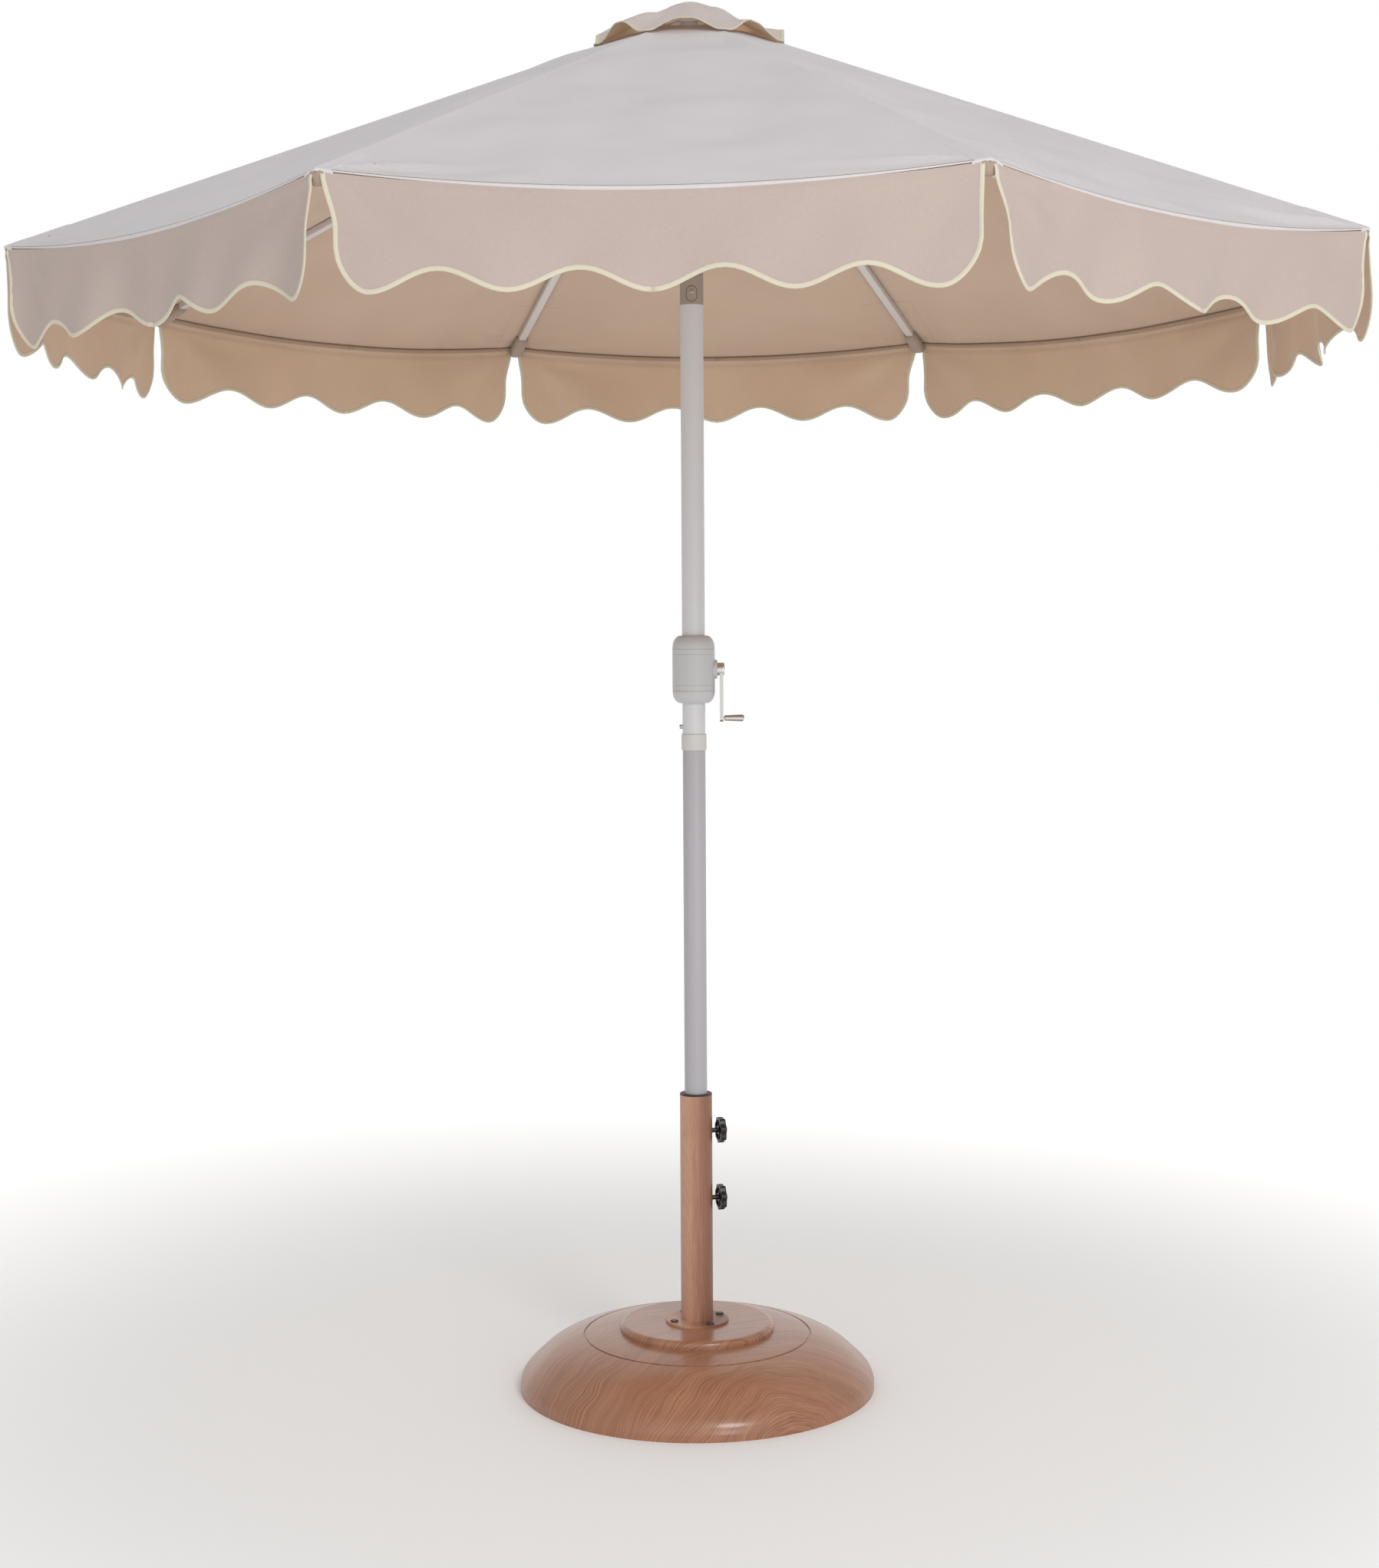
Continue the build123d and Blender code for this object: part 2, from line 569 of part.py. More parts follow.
def strut(number):
    """A strut made along +X from its pin in the rib's bracket, then turned to point at the runner."""
    upper = blade(0, 42, 2.0, 5.5, 0) + rod_y(PIN_R, -BRACKET_Y[1], BRACKET_Y[1], 0, 0)
    rail = box_tube(36, STRUT_LENGTH - 72, 11.0, RIB_HEIGHT)
    lower = blade(STRUT_LENGTH - 80, STRUT_LENGTH, 2.0, 5.5, STRUT_LENGTH)
    bar = Rot(0, 180.0 - STRUT_SLOPE, 0) * (upper + rail + lower)
    bracket = Pos(HUB_PIVOT_R, 0, HUB_Z) * Rot(0, SLOPE, 0) * Pos(STRUT_AT, 0, -STRUT_DROP)
    at = bracket.position
    return at_rib(Pos(at.X, 0, at.Z) * bar, number)


# Fabric. A place on it is given by the radius along the nearest rib and by a share from the rib, 0,
# to the middle of the panel, 1, counted negative on the other side of the rib.


def fabric_point(rib_radius, share, z):
    inward = sin(radians(HALF_PANEL)) ** 2
    sideways = sin(radians(HALF_PANEL)) * cos(radians(HALF_PANEL))
    return Vector(rib_radius * (1 - inward * abs(share)), rib_radius * sideways * share, z)


def toward_middle(share):
    """0 at the rib and 1 at the middle of the panel, flat there."""
    return abs(share) * (2 - abs(share))


def canopy_z(rib_radius, share):
    sag = RIM_SAG * (rib_radius / RIM_R) ** 2
    return APEX_Z - rib_radius * tan(radians(SLOPE)) - sag * toward_middle(share)


def cap_z(rib_radius, share):
    lift = CAP_LIFT * (rib_radius / CAP_R) ** 2
    return CAP_TOP - CAP_DROP * (rib_radius / CAP_R) ** CAP_POWER + lift * toward_middle(share)


def fabric_sheet(radii, height):
    shares = [k / 4 for k in range(-4, 5)]
    top = [[fabric_point(r, s, height(r, s)) for s in shares] for r in radii]
    bottom = [[p - Vector(0, 0, FABRIC) for p in row] for row in top]
    return solid_from_grid(top, bottom)


def canopy(number):
    """The main canopy's fabric about one rib, with the vent cap's fabric over it."""
    main = fabric_sheet([VENT_R, 350.0, 600.0, 850.0, RIM_R], canopy_z)
    cap_start = (CROWN_R + 1.0) / cos(radians(HALF_PANEL))
    cap = fabric_sheet([cap_start, 85.0, 125.0, CAP_R], cap_z)
    return at_rib(Compound(children=[main, cap]), number)


def valance_half(side):
    """Half of the valance on one side of a rib, in the upright plane of the panel's rim."""
    half_chord = RIM_R * sin(radians(HALF_PANEL))
    steps = 26
    along = [VALANCE_GAP + (half_chord - VALANCE_GAP) * k / steps for k in range(steps + 1)]
    top, bottom = [], []
    for s in along:
        from_middle = half_chord - s
        wave = VALANCE_DROP + VALANCE_WAVE * cos(2 * pi * from_middle / VALANCE_PITCH)
        into_corner = max(0.0, (VALANCE_CORNER - (s - VALANCE_GAP)) / VALANCE_CORNER)
        wave -= VALANCE_CORNER * (1 - sqrt(max(0.0, 1 - into_corner ** 2)))
        top.append((s, canopy_z(RIM_R, s / half_chord) - FABRIC - 0.4))
        bottom.append((s, RIM_Z - wave))
    outline = top + bottom[::-1]
    start = Vector(RIM_R, 0, 0)
    out = Vector(cos(radians(HALF_PANEL)), side * sin(radians(HALF_PANEL)), 0)
    run = Vector(-sin(radians(HALF_PANEL)), side * cos(radians(HALF_PANEL)), 0)
    face = make_face(Polyline(*[start + run * s + Vector(0, 0, z) for s, z in outline], close=True))
    return extrude(face, FABRIC, dir=-out).solid()


def valance(number):
    return at_rib(Compound(children=[valance_half(-1), valance_half(1)]), number)


def all_parts():
    parts = {
        "base_shell": base_shell(), "base_ballast": base_ballast(), "stand_tube": stand_tube(),
        "flange_bolts": flange_bolts(), "knob_nuts": knob_nuts(), "reducer_sleeve": reducer_sleeve(),
        "lower_pole": lower_pole(), "pole_foot": pole_foot(), "joint_collar": joint_collar(),
        "snap_button": snap_button(), "upper_pole": upper_pole(), "housing_caps": housing_caps(),
        "housing_shell": housing_shell(), "cord_reel": cord_reel(), "crank_arm": crank_arm(),
        "crank_grip": crank_grip(), "tilt_socket": tilt_socket(), "tilt_pin": tilt_pin(),
        "tilt_button": tilt_button(), "head_mast": head_mast(), "cord_pulley": cord_pulley(),
        "top_hub": top_hub(), "vent_crown": vent_crown(), "runner": runner(),
    }
    for which in KNOB_HEIGHTS:
        parts["clamp_pad_" + which] = clamp_pad(which)
        parts["clamp_knob_" + which] = clamp_knob(which)
    for number in range(1, RIB_COUNT + 1):
        parts[f"rib_{number}"] = rib(number)
        parts[f"strut_{number}"] = strut(number)
        parts[f"canopy_{number}"] = canopy(number)
        parts[f"valance_{number}"] = valance(number)
    return parts


os.makedirs("parts", exist_ok=True)
for name, shape in all_parts().items():
    export_step(shape, f"parts/{name}.step")
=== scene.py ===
import json
from math import atan2, cos, hypot, pi, radians, sin, tan

import bpy
import numpy as np
from mathutils import Matrix, Vector


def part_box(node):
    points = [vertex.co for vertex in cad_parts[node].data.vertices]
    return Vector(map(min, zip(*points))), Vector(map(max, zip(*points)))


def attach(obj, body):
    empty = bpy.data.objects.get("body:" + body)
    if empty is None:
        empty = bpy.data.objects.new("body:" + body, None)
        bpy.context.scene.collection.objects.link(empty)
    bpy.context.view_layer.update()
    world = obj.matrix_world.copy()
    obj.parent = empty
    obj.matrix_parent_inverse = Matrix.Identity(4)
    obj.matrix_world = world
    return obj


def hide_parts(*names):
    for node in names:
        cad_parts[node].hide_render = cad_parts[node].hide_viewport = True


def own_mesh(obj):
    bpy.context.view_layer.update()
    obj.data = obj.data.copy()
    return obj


# The looks of a crank-lift patio umbrella: canopy, vent cap and valance as sheets of fabric, and
# finishes for the rest. Metres, +Z up, origin at the middle of the base's underside. The crank side
# is +X and the front is -Y.

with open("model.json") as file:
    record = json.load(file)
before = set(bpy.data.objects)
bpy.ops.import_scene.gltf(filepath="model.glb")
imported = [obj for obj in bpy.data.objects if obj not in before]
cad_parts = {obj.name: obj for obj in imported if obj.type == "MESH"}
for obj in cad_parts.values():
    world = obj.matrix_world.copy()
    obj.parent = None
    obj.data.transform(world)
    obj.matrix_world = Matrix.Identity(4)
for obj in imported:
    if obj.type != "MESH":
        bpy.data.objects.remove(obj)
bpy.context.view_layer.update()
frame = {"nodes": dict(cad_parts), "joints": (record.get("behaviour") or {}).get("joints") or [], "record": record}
nodes = frame["nodes"]
joints = {joint["name"]: joint for joint in frame["joints"]}

RIBS = 8
SIN = sin(pi / RIBS)
COS = cos(pi / RIBS)

# Canopy, as in the CAD: slope of the ribs, sag at the middle of the rim, radius of the vent opening
SLOPE = tan(radians(21.25))
RIM_SAG = 0.027
VENT_R = 0.097
# Vent cap: outer and inner radius, fall and shape of its line, arch between the ribs, puff in the
# middle, height of its creases and how far it stands clear of the canopy
CAP_R = 0.165
CAP_INNER_R = 0.033
CAP_DROP = 0.0680
CAP_POWER = 1.35
CAP_LIFT = 0.025
CAP_PUFF = 0.012
CAP_CREASE = 0.0060
CAP_CLEARANCE = 0.0012
CROWN_R = 0.037
CROWN_POINTS = 64
SHOULDER_R = 0.0148
# Valance: drop, scallop height and pitch, corner radius, gap to the next valance
VALANCE_DROP = 0.140
VALANCE_WAVE = 0.014
VALANCE_PITCH = 0.178
VALANCE_CORNER = 0.050
GAP_TOP = 0.008
VALANCE_INSET = 0.0022
# Cloth, hem, binding tape and the pieces at a rib's end
CLOTH = 0.001
HEM_ROLL = 0.005
HEM_START = 0.0035
HEM_STEPS = 7
BINDING = 0.0056
BINDING_RISE = 0.0008
PATCH_LENGTH = 0.095
PATCH_HALF = 0.0205
PATCH_CLOTH = 0.0008
PATCH_FOLD_R = 0.0034
LINING_HALF = 0.049
LINING_LENGTH = 0.165
LINING_INSET = 0.0060
LINING_DEPTH = 0.0015
LINING_EDGE_RISE = 0.0005
LINING_CLOTH = 0.0003
POCKET_INSET = 0.0024
POCKET_DROP = 0.0012
POCKET_TOP = 0.0016
POCKET_POINTS = 20
POCKET_SQUARENESS = 0.6
# Small steps for the normals of the surfaces, and the least length that is divided by
CANOPY_STEP = 0.0012
CAP_STEP = 0.0006
VALANCE_STEP = 0.002
TINY = 1e-12

canopy_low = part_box("canopy_1")[0]
canopy_points = np.array([v.co for v in nodes["canopy_1"].data.vertices])
canopy_radii = np.hypot(canopy_points[:, 0], canopy_points[:, 1])
RIM_R = float(canopy_radii.max())
RIM_Z = float(canopy_points[canopy_radii.argmax(), 2])
RIM_Z = max(RIM_Z, float(canopy_low.z) + RIM_SAG)
APEX_Z = RIM_Z + RIM_R * SLOPE
CAP_TOP = float(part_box("vent_crown")[1].z)
HALF_CHORD = RIM_R * SIN
APOTHEM = RIM_R * COS

# Stand tube, and the dark outline round the tilt button, painted shade along the edge of its recess
STAND_R = 0.027
TILT_BUTTON_Z = float(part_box("tilt_button")[0].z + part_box("tilt_button")[1].z) / 2
OUTLINE_Z = TILT_BUTTON_Z - 0.004
OUTLINE_HALF_LENGTH = 0.004
OUTLINE_R = 0.0087
OUTLINE_FRONT = -0.010


def rib_joint(number):
    return "canopy_fold" if number == 1 else f"rib_fold_{number}"


def rib_azimuth(number):
    """The angle of a rib from -Y toward +X, from where its hinge is."""
    x, y, _ = joints[rib_joint(number)]["pos_m"]
    return atan2(x, -y)


def outward(angle):
    return np.array([sin(angle), -cos(angle), 0.0])


def sideways(angle):
    return np.array([cos(angle), sin(angle), 0.0])


UP = np.array([0.0, 0.0, 1.0])


def smooth(low, high, value):
    """A smooth step from 0 at low to 1 at high."""
    t = np.clip((value - low) / (high - low), 0.0, 1.0)
    return t * t * (3 - 2 * t)


# Materials

FINE_GRAIN = 900.0
PAINT_GRAIN = 500.0
GRAIN_DEPTH = 0.00003
GRAIN_STRENGTH = 0.25
WEAVE_SCALE = 210.0
# Linear share of a colour left in the darkest streaks and pores of the wood print
STREAK_TONE = 0.72
PORE_TONE = 0.70


def opaque(color, share):
    """A linear colour with its channels multiplied by share."""
    return tuple(min(1.0, c * share) for c in color[:3]) + (1.0,)


def srgb(red, green, blue):
    """A linear colour from 8-bit sRGB numbers."""
    channels = [c / 255 for c in (red, green, blue)]
    linear = [c / 12.92 if c <= 0.04045 else ((c + 0.055) / 1.055) ** 2.4 for c in channels]
    return (*linear, 1.0)


class Look:
    """A Principled material and its node tree."""

    def __init__(self, name, color, roughness, **inputs):
        self.material = bpy.data.materials.new(name)
        self.material.use_nodes = True
        self.tree = self.material.node_tree
        self.shader = self.tree.nodes["Principled BSDF"]
        self.set("Base Color", color)
        self.set("Roughness", roughness)
        for key, value in inputs.items():
            self.set(key.replace("_", " "), value)

    def set(self, name, value):
        self.shader.inputs[name].default_value = value

    def node(self, kind, **settings):
        made = self.tree.nodes.new(kind)
        for key, value in settings.items():
            setattr(made, key, value)
        return made

    def link(self, output, target):
        self.tree.links.new(output, target)

    def coordinates(self):
        return self.node("ShaderNodeTexCoord").outputs["Object"]

    def stretched(self, vector, scale, rotation=(0, 0, 0), location=(0, 0, 0)):
        mapping = self.node("ShaderNodeMapping")
        mapping.inputs["Scale"].default_value = scale
        mapping.inputs["Rotation"].default_value = rotation
        mapping.inputs["Location"].default_value = location
        self.link(vector, mapping.inputs["Vector"])
        return mapping.outputs["Vector"]

    def noise(self, vector, scale, detail=3.0, roughness=0.5, distortion=0.0):
        texture = self.node("ShaderNodeTexNoise")
        texture.inputs["Scale"].default_value = scale
        texture.inputs["Detail"].default_value = detail
        texture.inputs["Roughness"].default_value = roughness
        texture.inputs["Distortion"].default_value = distortion
        self.link(vector, texture.inputs["Vector"])
        return texture.outputs["Fac"]

    def math(self, operation, first, second=None):
        made = self.node("ShaderNodeMath", operation=operation)
        for socket, value in zip(made.inputs, (first, second)):
            if value is None:
                continue
            if isinstance(value, (int, float)):
                socket.default_value = value
            else:
                self.link(value, socket)
        return made.outputs[0]

    def ramp(self, factor, stops):
        made = self.node("ShaderNodeValToRGB")
        elements = made.color_ramp.elements
        while len(elements) < len(stops):
            elements.new(0.5)
        for element, (position, color) in zip(elements, stops):
            element.position = position
            element.color = color
        self.link(factor, made.inputs["Fac"])
        return made.outputs["Color"]

    def mix(self, factor, first, second, blend="MIX"):
        made = self.node("ShaderNodeMix", data_type="RGBA", blend_type=blend)
        for socket, value in ((made.inputs[0], factor), (made.inputs[6], first), (made.inputs[7], second)):
            if isinstance(value, (int, float, tuple)):
                socket.default_value = value
            else:
                self.link(value, socket)
        return made.outputs[2]

    def bump(self, height, strength, distance):
        made = self.node("ShaderNodeBump")
        made.inputs["Strength"].default_value = strength
        made.inputs["Distance"].default_value = distance
        self.link(height, made.inputs["Height"])
        self.link(made.outputs["Normal"], self.shader.inputs["Normal"])


def plain(name, color, roughness, grain=FINE_GRAIN, depth=GRAIN_DEPTH, **inputs):
    """A moulded or painted surface with a fine grain."""
    look = Look(name, color, roughness, **inputs)
    look.bump(look.noise(look.coordinates(), grain, detail=2.0), GRAIN_STRENGTH, depth)
    return look.material


def cloth(name, color, mottle=0.05, glow=0.0):
    """Woven polyester: a fine plain weave, slightly uneven in tone; glow is painted light, standing in for light
    through the cloth.
    """
    look = Look(name, color, 0.86, Sheen_Weight=0.12, Sheen_Roughness=0.6,
                Emission_Color=color, Emission_Strength=glow)
    place = look.coordinates()
    broad = look.noise(place, 7.0, detail=4.0)
    fine = look.noise(place, 260.0, detail=2.0)
    tone = look.math("ADD", look.math("MULTIPLY", broad, 0.6), look.math("MULTIPLY", fine, 0.4))
    stops = [(0.3, opaque(color, 1 - mottle)), (0.7, opaque(color, 1 + mottle))]
    look.link(look.ramp(tone, stops), look.shader.inputs["Base Color"])
    woven = look.node("ShaderNodeTexCoord").outputs["UV"]
    threads = []
    for direction in ("X", "Y"):
        wave = look.node("ShaderNodeTexWave", wave_type="BANDS", bands_direction=direction)
        wave.inputs["Scale"].default_value = WEAVE_SCALE
        wave.inputs["Distortion"].default_value = 0.6
        look.link(woven, wave.inputs["Vector"])
        threads.append(wave.outputs["Fac"])
    weave = look.math("MULTIPLY", threads[0], threads[1])
    look.bump(look.math("ADD", weave, look.math("MULTIPLY", fine, 0.8)), 0.18, 0.0004)
    return look.material


def wood(name, colors, grain_of, roughness, coat, painted_side_shade):
    """Printed wood grain: faint growth rings, streaks, fine fibres and short dark pores, with a clear coat.

    painted_side_shade sets painted light and shade: the print is lighter away from the knobs and darker toward
    them.
    """
    light, middle, dark = colors
    look = Look(name, middle, roughness, Coat_Weight=coat, Coat_Roughness=0.16)
    grain, rings = grain_of(look)
    bands = look.node("ShaderNodeTexWave", wave_type="BANDS", bands_direction="Y", wave_profile="SAW")
    bands.inputs["Scale"].default_value = 1.0
    bands.inputs["Distortion"].default_value = 3.0
    bands.inputs["Detail"].default_value = 3.0
    bands.inputs["Detail Scale"].default_value = 1.2
    look.link(rings, bands.inputs["Vector"])
    broad = look.noise(look.stretched(grain, (2.0, 22.0, 22.0)), 1.0, detail=2.0)
    streaks = look.noise(look.stretched(grain, (5.0, 120.0, 120.0)), 1.0, detail=3.0, roughness=0.6)
    fibres = look.noise(look.stretched(grain, (14.0, 420.0, 420.0)), 1.0, detail=3.0, roughness=0.6)
    pores = look.noise(look.stretched(grain, (45.0, 1100.0, 1100.0)), 1.0, detail=1.0)
    tone = look.math("MULTIPLY", bands.outputs["Fac"], 0.16)
    for part, share in ((broad, 0.22), (streaks, 0.27), (fibres, 0.35)):
        tone = look.math("ADD", tone, look.math("MULTIPLY", part, share))
    across = look.node("ShaderNodeSeparateXYZ")
    look.link(look.coordinates(), across.inputs["Vector"])
    # Painted light and shade: the print is lighter away from the knobs and darker toward them.
    toward_knobs = smoothed(look, across.outputs["X"], -STAND_R, STAND_R)
    painted_side_shading = look.math("MULTIPLY", look.math("SUBTRACT", 0.42, toward_knobs), 0.55 * painted_side_shade)
    tone = look.math("ADD", tone, painted_side_shading)
    stops = [(0.24, opaque(dark, STREAK_TONE)), (0.36, dark), (0.50, middle), (0.66, light)]
    speck = look.math("MULTIPLY", smoothed(look, pores, 0.60, 0.72), 0.40)
    color = look.mix(speck, look.ramp(tone, stops), opaque(dark, PORE_TONE))
    look.link(color, look.shader.inputs["Base Color"])
    look.bump(look.math("SUBTRACT", fibres, speck), 0.10, 0.0003)
    return look.material


def tilt_plastic(color, recess_shade_color):
    """Moulded plastic with a dark rounded outline round the tilt button: painted shade along the edge of its
    recess.
    """
    look = Look("tilt_plastic", color, 0.42)
    place = look.node("ShaderNodeSeparateXYZ")
    look.link(look.coordinates(), place.inputs["Vector"])
    above = look.math("ABSOLUTE", look.math("SUBTRACT", place.outputs["Z"], OUTLINE_Z))
    above = look.math("MAXIMUM", look.math("SUBTRACT", above, OUTLINE_HALF_LENGTH), 0.0)
    squares = look.math("ADD", look.math("MULTIPLY", above, above),
                        look.math("MULTIPLY", place.outputs["X"], place.outputs["X"]))
    gap = look.math("ABSOLUTE", look.math("SUBTRACT", look.math("SQRT", squares), OUTLINE_R))
    on_recess_edge = look.math("SUBTRACT", 1.0, smoothed(look, gap, 0.0002, 0.0008))
    in_front = smoothed(look, place.outputs["Y"], OUTLINE_FRONT, OUTLINE_FRONT - 0.002)
    # Painted shade: a dark line along the edge of the recess round the tilt button.
    painted_shade_mask = look.math("MULTIPLY", on_recess_edge, in_front)
    look.link(look.mix(painted_shade_mask, color, recess_shade_color), look.shader.inputs["Base Color"])
    look.bump(look.noise(look.coordinates(), FINE_GRAIN, detail=2.0), GRAIN_STRENGTH, GRAIN_DEPTH)
    return look.material


def smoothed(look, value, low, high):
    """The shader's smooth step from 0 at low to 1 at high."""
    made = look.node("ShaderNodeMapRange", interpolation_type="SMOOTHSTEP")
    look.link(value, made.inputs["Value"])
    made.inputs["From Min"].default_value = low
    made.inputs["From Max"].default_value = high
    return made.outputs["Result"]


def dome_grain(look):
    """Grain in wide arcs about a point in front of the base and to its right."""
    parts = look.node("ShaderNodeSeparateXYZ")
    look.link(look.coordinates(), parts.inputs["Vector"])
    x = look.math("SUBTRACT", parts.outputs["X"], 0.20)
    y = look.math("SUBTRACT", parts.outputs["Y"], -0.33)
    squares = look.math("ADD", look.math("MULTIPLY", x, x), look.math("MULTIPLY", y, y))
    wander = look.math("MULTIPLY", look.noise(look.coordinates(), 7.0, detail=2.0), 0.09)
    radius = look.math("ADD", look.math("SQRT", squares), wander)
    radius = look.math("ADD", radius, look.math("MULTIPLY", parts.outputs["Z"], 0.5))
    sweep = look.math("MULTIPLY", look.math("ARCTAN2", x, y), 0.30)
    grain = look.node("ShaderNodeCombineXYZ")
    look.link(sweep, grain.inputs["X"])
    look.link(radius, grain.inputs["Y"])
    return grain.outputs["Vector"], look.stretched(grain.outputs["Vector"], (3.0, 60.0, 1.0))


def tube_grain(look):
    """Grain that runs up the tube, with pointed arches where the rings are cut at a slant."""
    parts = look.node("ShaderNodeSeparateXYZ")
    look.link(look.coordinates(), parts.inputs["Vector"])
    behind = look.math("MULTIPLY", parts.outputs["Y"], -1.0)
    around = look.math("MULTIPLY", look.math("ARCTAN2", parts.outputs["X"], behind), STAND_R)
    wander = look.math("MULTIPLY", look.noise(look.coordinates(), 9.0, detail=2.0), 0.018)
    across = look.math("ADD", around, wander)
    shifted = look.math("ADD", around, 0.024)
    arch = look.math("MULTIPLY", look.math("MULTIPLY", shifted, shifted), 260.0)
    height = look.math("ADD", arch, parts.outputs["Z"])
    grain = look.node("ShaderNodeCombineXYZ")
    look.link(parts.outputs["Z"], grain.inputs["X"])
    look.link(across, grain.inputs["Y"])
    ring_place = look.node("ShaderNodeCombineXYZ")
    look.link(across, ring_place.inputs["X"])
    look.link(height, ring_place.inputs["Y"])
    return grain.outputs["Vector"], look.stretched(ring_place.outputs["Vector"], (30.0, 11.0, 1.0))


# Light, middle and dark tones of the two wood prints
RESIN_COLORS = (srgb(180, 131, 101), srgb(161, 111, 82), srgb(136, 88, 62))
STEEL_COLORS = (srgb(190, 146, 120), srgb(172, 126, 101), srgb(150, 104, 80))

looks = {
    # The last number is the strength of the painted light and shade across the print: none on the base.
    "wood_print_resin": wood("wood_print_resin", RESIN_COLORS, dome_grain, 0.36, 0.45, 0.0),
    "wood_print_steel": wood("wood_print_steel", STEEL_COLORS, tube_grain, 0.45, 0.12, 0.85),
    "ballast_fill": plain("ballast_fill", srgb(120, 116, 110), 0.9, grain=120.0, depth=0.0004),
    "dark_steel": plain("dark_steel", srgb(64, 60, 58), 0.42),
    "dark_plastic": plain("dark_plastic", srgb(52, 46, 44), 0.5),
    "black_plastic": plain("black_plastic", srgb(26, 25, 26), 0.34),
    "pole_paint_lower": plain("pole_paint_lower", srgb(169, 166, 170), 0.32, grain=PAINT_GRAIN),
    "pole_paint_upper": plain("pole_paint_upper", srgb(202, 202, 204), 0.32, grain=PAINT_GRAIN),
    "cream_plastic": plain("cream_plastic", srgb(197, 195, 192), 0.38),
    "polished_steel": plain("polished_steel", srgb(190, 188, 186), 0.22, Metallic=1.0),
    "housing_plastic": plain("housing_plastic", srgb(186, 186, 187), 0.36),
    "chrome": plain("chrome", srgb(205, 203, 200), 0.12, Metallic=1.0),
    # The second colour is painted shade along the edge of the tilt button's recess.
    "tilt_plastic": tilt_plastic(srgb(153, 140, 130), srgb(78, 66, 58)),
    "hub_plastic": plain("hub_plastic", srgb(190, 184, 178), 0.45),
    "rib_paint": plain("rib_paint", srgb(200, 193, 189), 0.36, grain=PAINT_GRAIN),
}

# The canopy's top is lighter and cooler than the same cloth elsewhere: painted sheen.
canopy_top = cloth("canopy_top", srgb(201, 196, 197))
# The canopy's underside is darker and warmer than its top, though it is the same cloth: painted shade and painted
# light through the cloth.
canopy_under = cloth("canopy_under", srgb(187, 162, 140))
valance_face = cloth("valance_face", srgb(176, 160, 152))
# The valance's back is warmer and lighter than its face, though it is the same cloth: painted light through the
# cloth.
valance_back = cloth("valance_back", srgb(202, 175, 150))
binding = cloth("binding_tape", srgb(200, 193, 172), mottle=0.03)
pocket_cloth = cloth("pocket_cloth", srgb(160, 140, 127))
hem_cloth = cloth("hem_cloth", srgb(158, 132, 112))
cap_face = cloth("cap_face", srgb(194, 181, 175))
# The cap's underside is warmer than its face and glows a little: painted light through the cloth.
cap_under = cloth("cap_under", srgb(206, 172, 140), glow=0.16)
# Painted shadow: the dark brown line in the stitched fold at the rim.
crease_shadow_cloth = cloth("crease_shadow_cloth", srgb(132, 108, 92))


def node_slots():
    """The material slot of each CAD node, from the record."""
    return {part["node"]: part["material_slot"] for part in frame["record"]["subparts"]}


slot_of = node_slots()
for name, node in nodes.items():
    look = looks.get(slot_of.get(name))
    if look is None:
        continue
    node.data.materials.clear()
    node.data.materials.append(look)


# Fabric pieces


def close_sheet(name, outer, inner, normals, uv, materials, side_slot=0):
    """A closed thin sheet between two grids of points, smooth on its faces and crisp at its border."""
    rows, columns = outer.shape[:2]
    count = rows * columns
    index = np.arange(count).reshape(rows, columns)
    corners = [index[:-1, :-1], index[1:, :-1], index[1:, 1:], index[:-1, 1:]]
    front = np.stack([c.ravel() for c in corners], axis=1)
    border = np.concatenate([index[:-1, 0], index[-1, :-1], index[:0:-1, -1], index[0, :0:-1]])
    following = np.roll(border, -1)
    side = np.stack([following, border, border + count, following + count], axis=1)
    faces = np.concatenate([front, front[:, ::-1] + count, side])
    vertices = np.concatenate([outer.reshape(-1, 3), inner.reshape(-1, 3)])
    mesh = bpy.data.meshes.new(name)
    mesh.from_pydata(vertices.tolist(), [], faces.tolist())
    slots = [np.zeros(len(front)), np.ones(len(front)), np.full(len(side), side_slot)]
    for material in materials:
        mesh.materials.append(material)
    mesh.polygons.foreach_set("material_index", np.concatenate(slots).astype(np.int32))
    mesh.polygons.foreach_set("use_smooth", np.ones(len(faces), dtype=bool))
    layer = mesh.uv_layers.new(name="UVMap")
    flat_uv = np.concatenate([uv.reshape(-1, 2)] * 2)
    layer.data.foreach_set("uv", flat_uv[faces.ravel()].astype(np.float32).ravel())
    first, second, third = (vertices[side[:, k]] for k in range(3))
    across = np.cross(second - first, third - second)
    across /= np.maximum(np.linalg.norm(across, axis=1, keepdims=True), TINY)
    flat = normals.reshape(-1, 3)
    loop_normals = np.concatenate([
        flat[front.ravel()], -flat[front[:, ::-1].ravel()], np.repeat(across, 4, axis=0)])
    mesh.update()
    mesh.normals_split_custom_set(loop_normals.tolist())
    made = bpy.data.objects.new(name, mesh)
    bpy.context.scene.collection.objects.link(made)
    return made


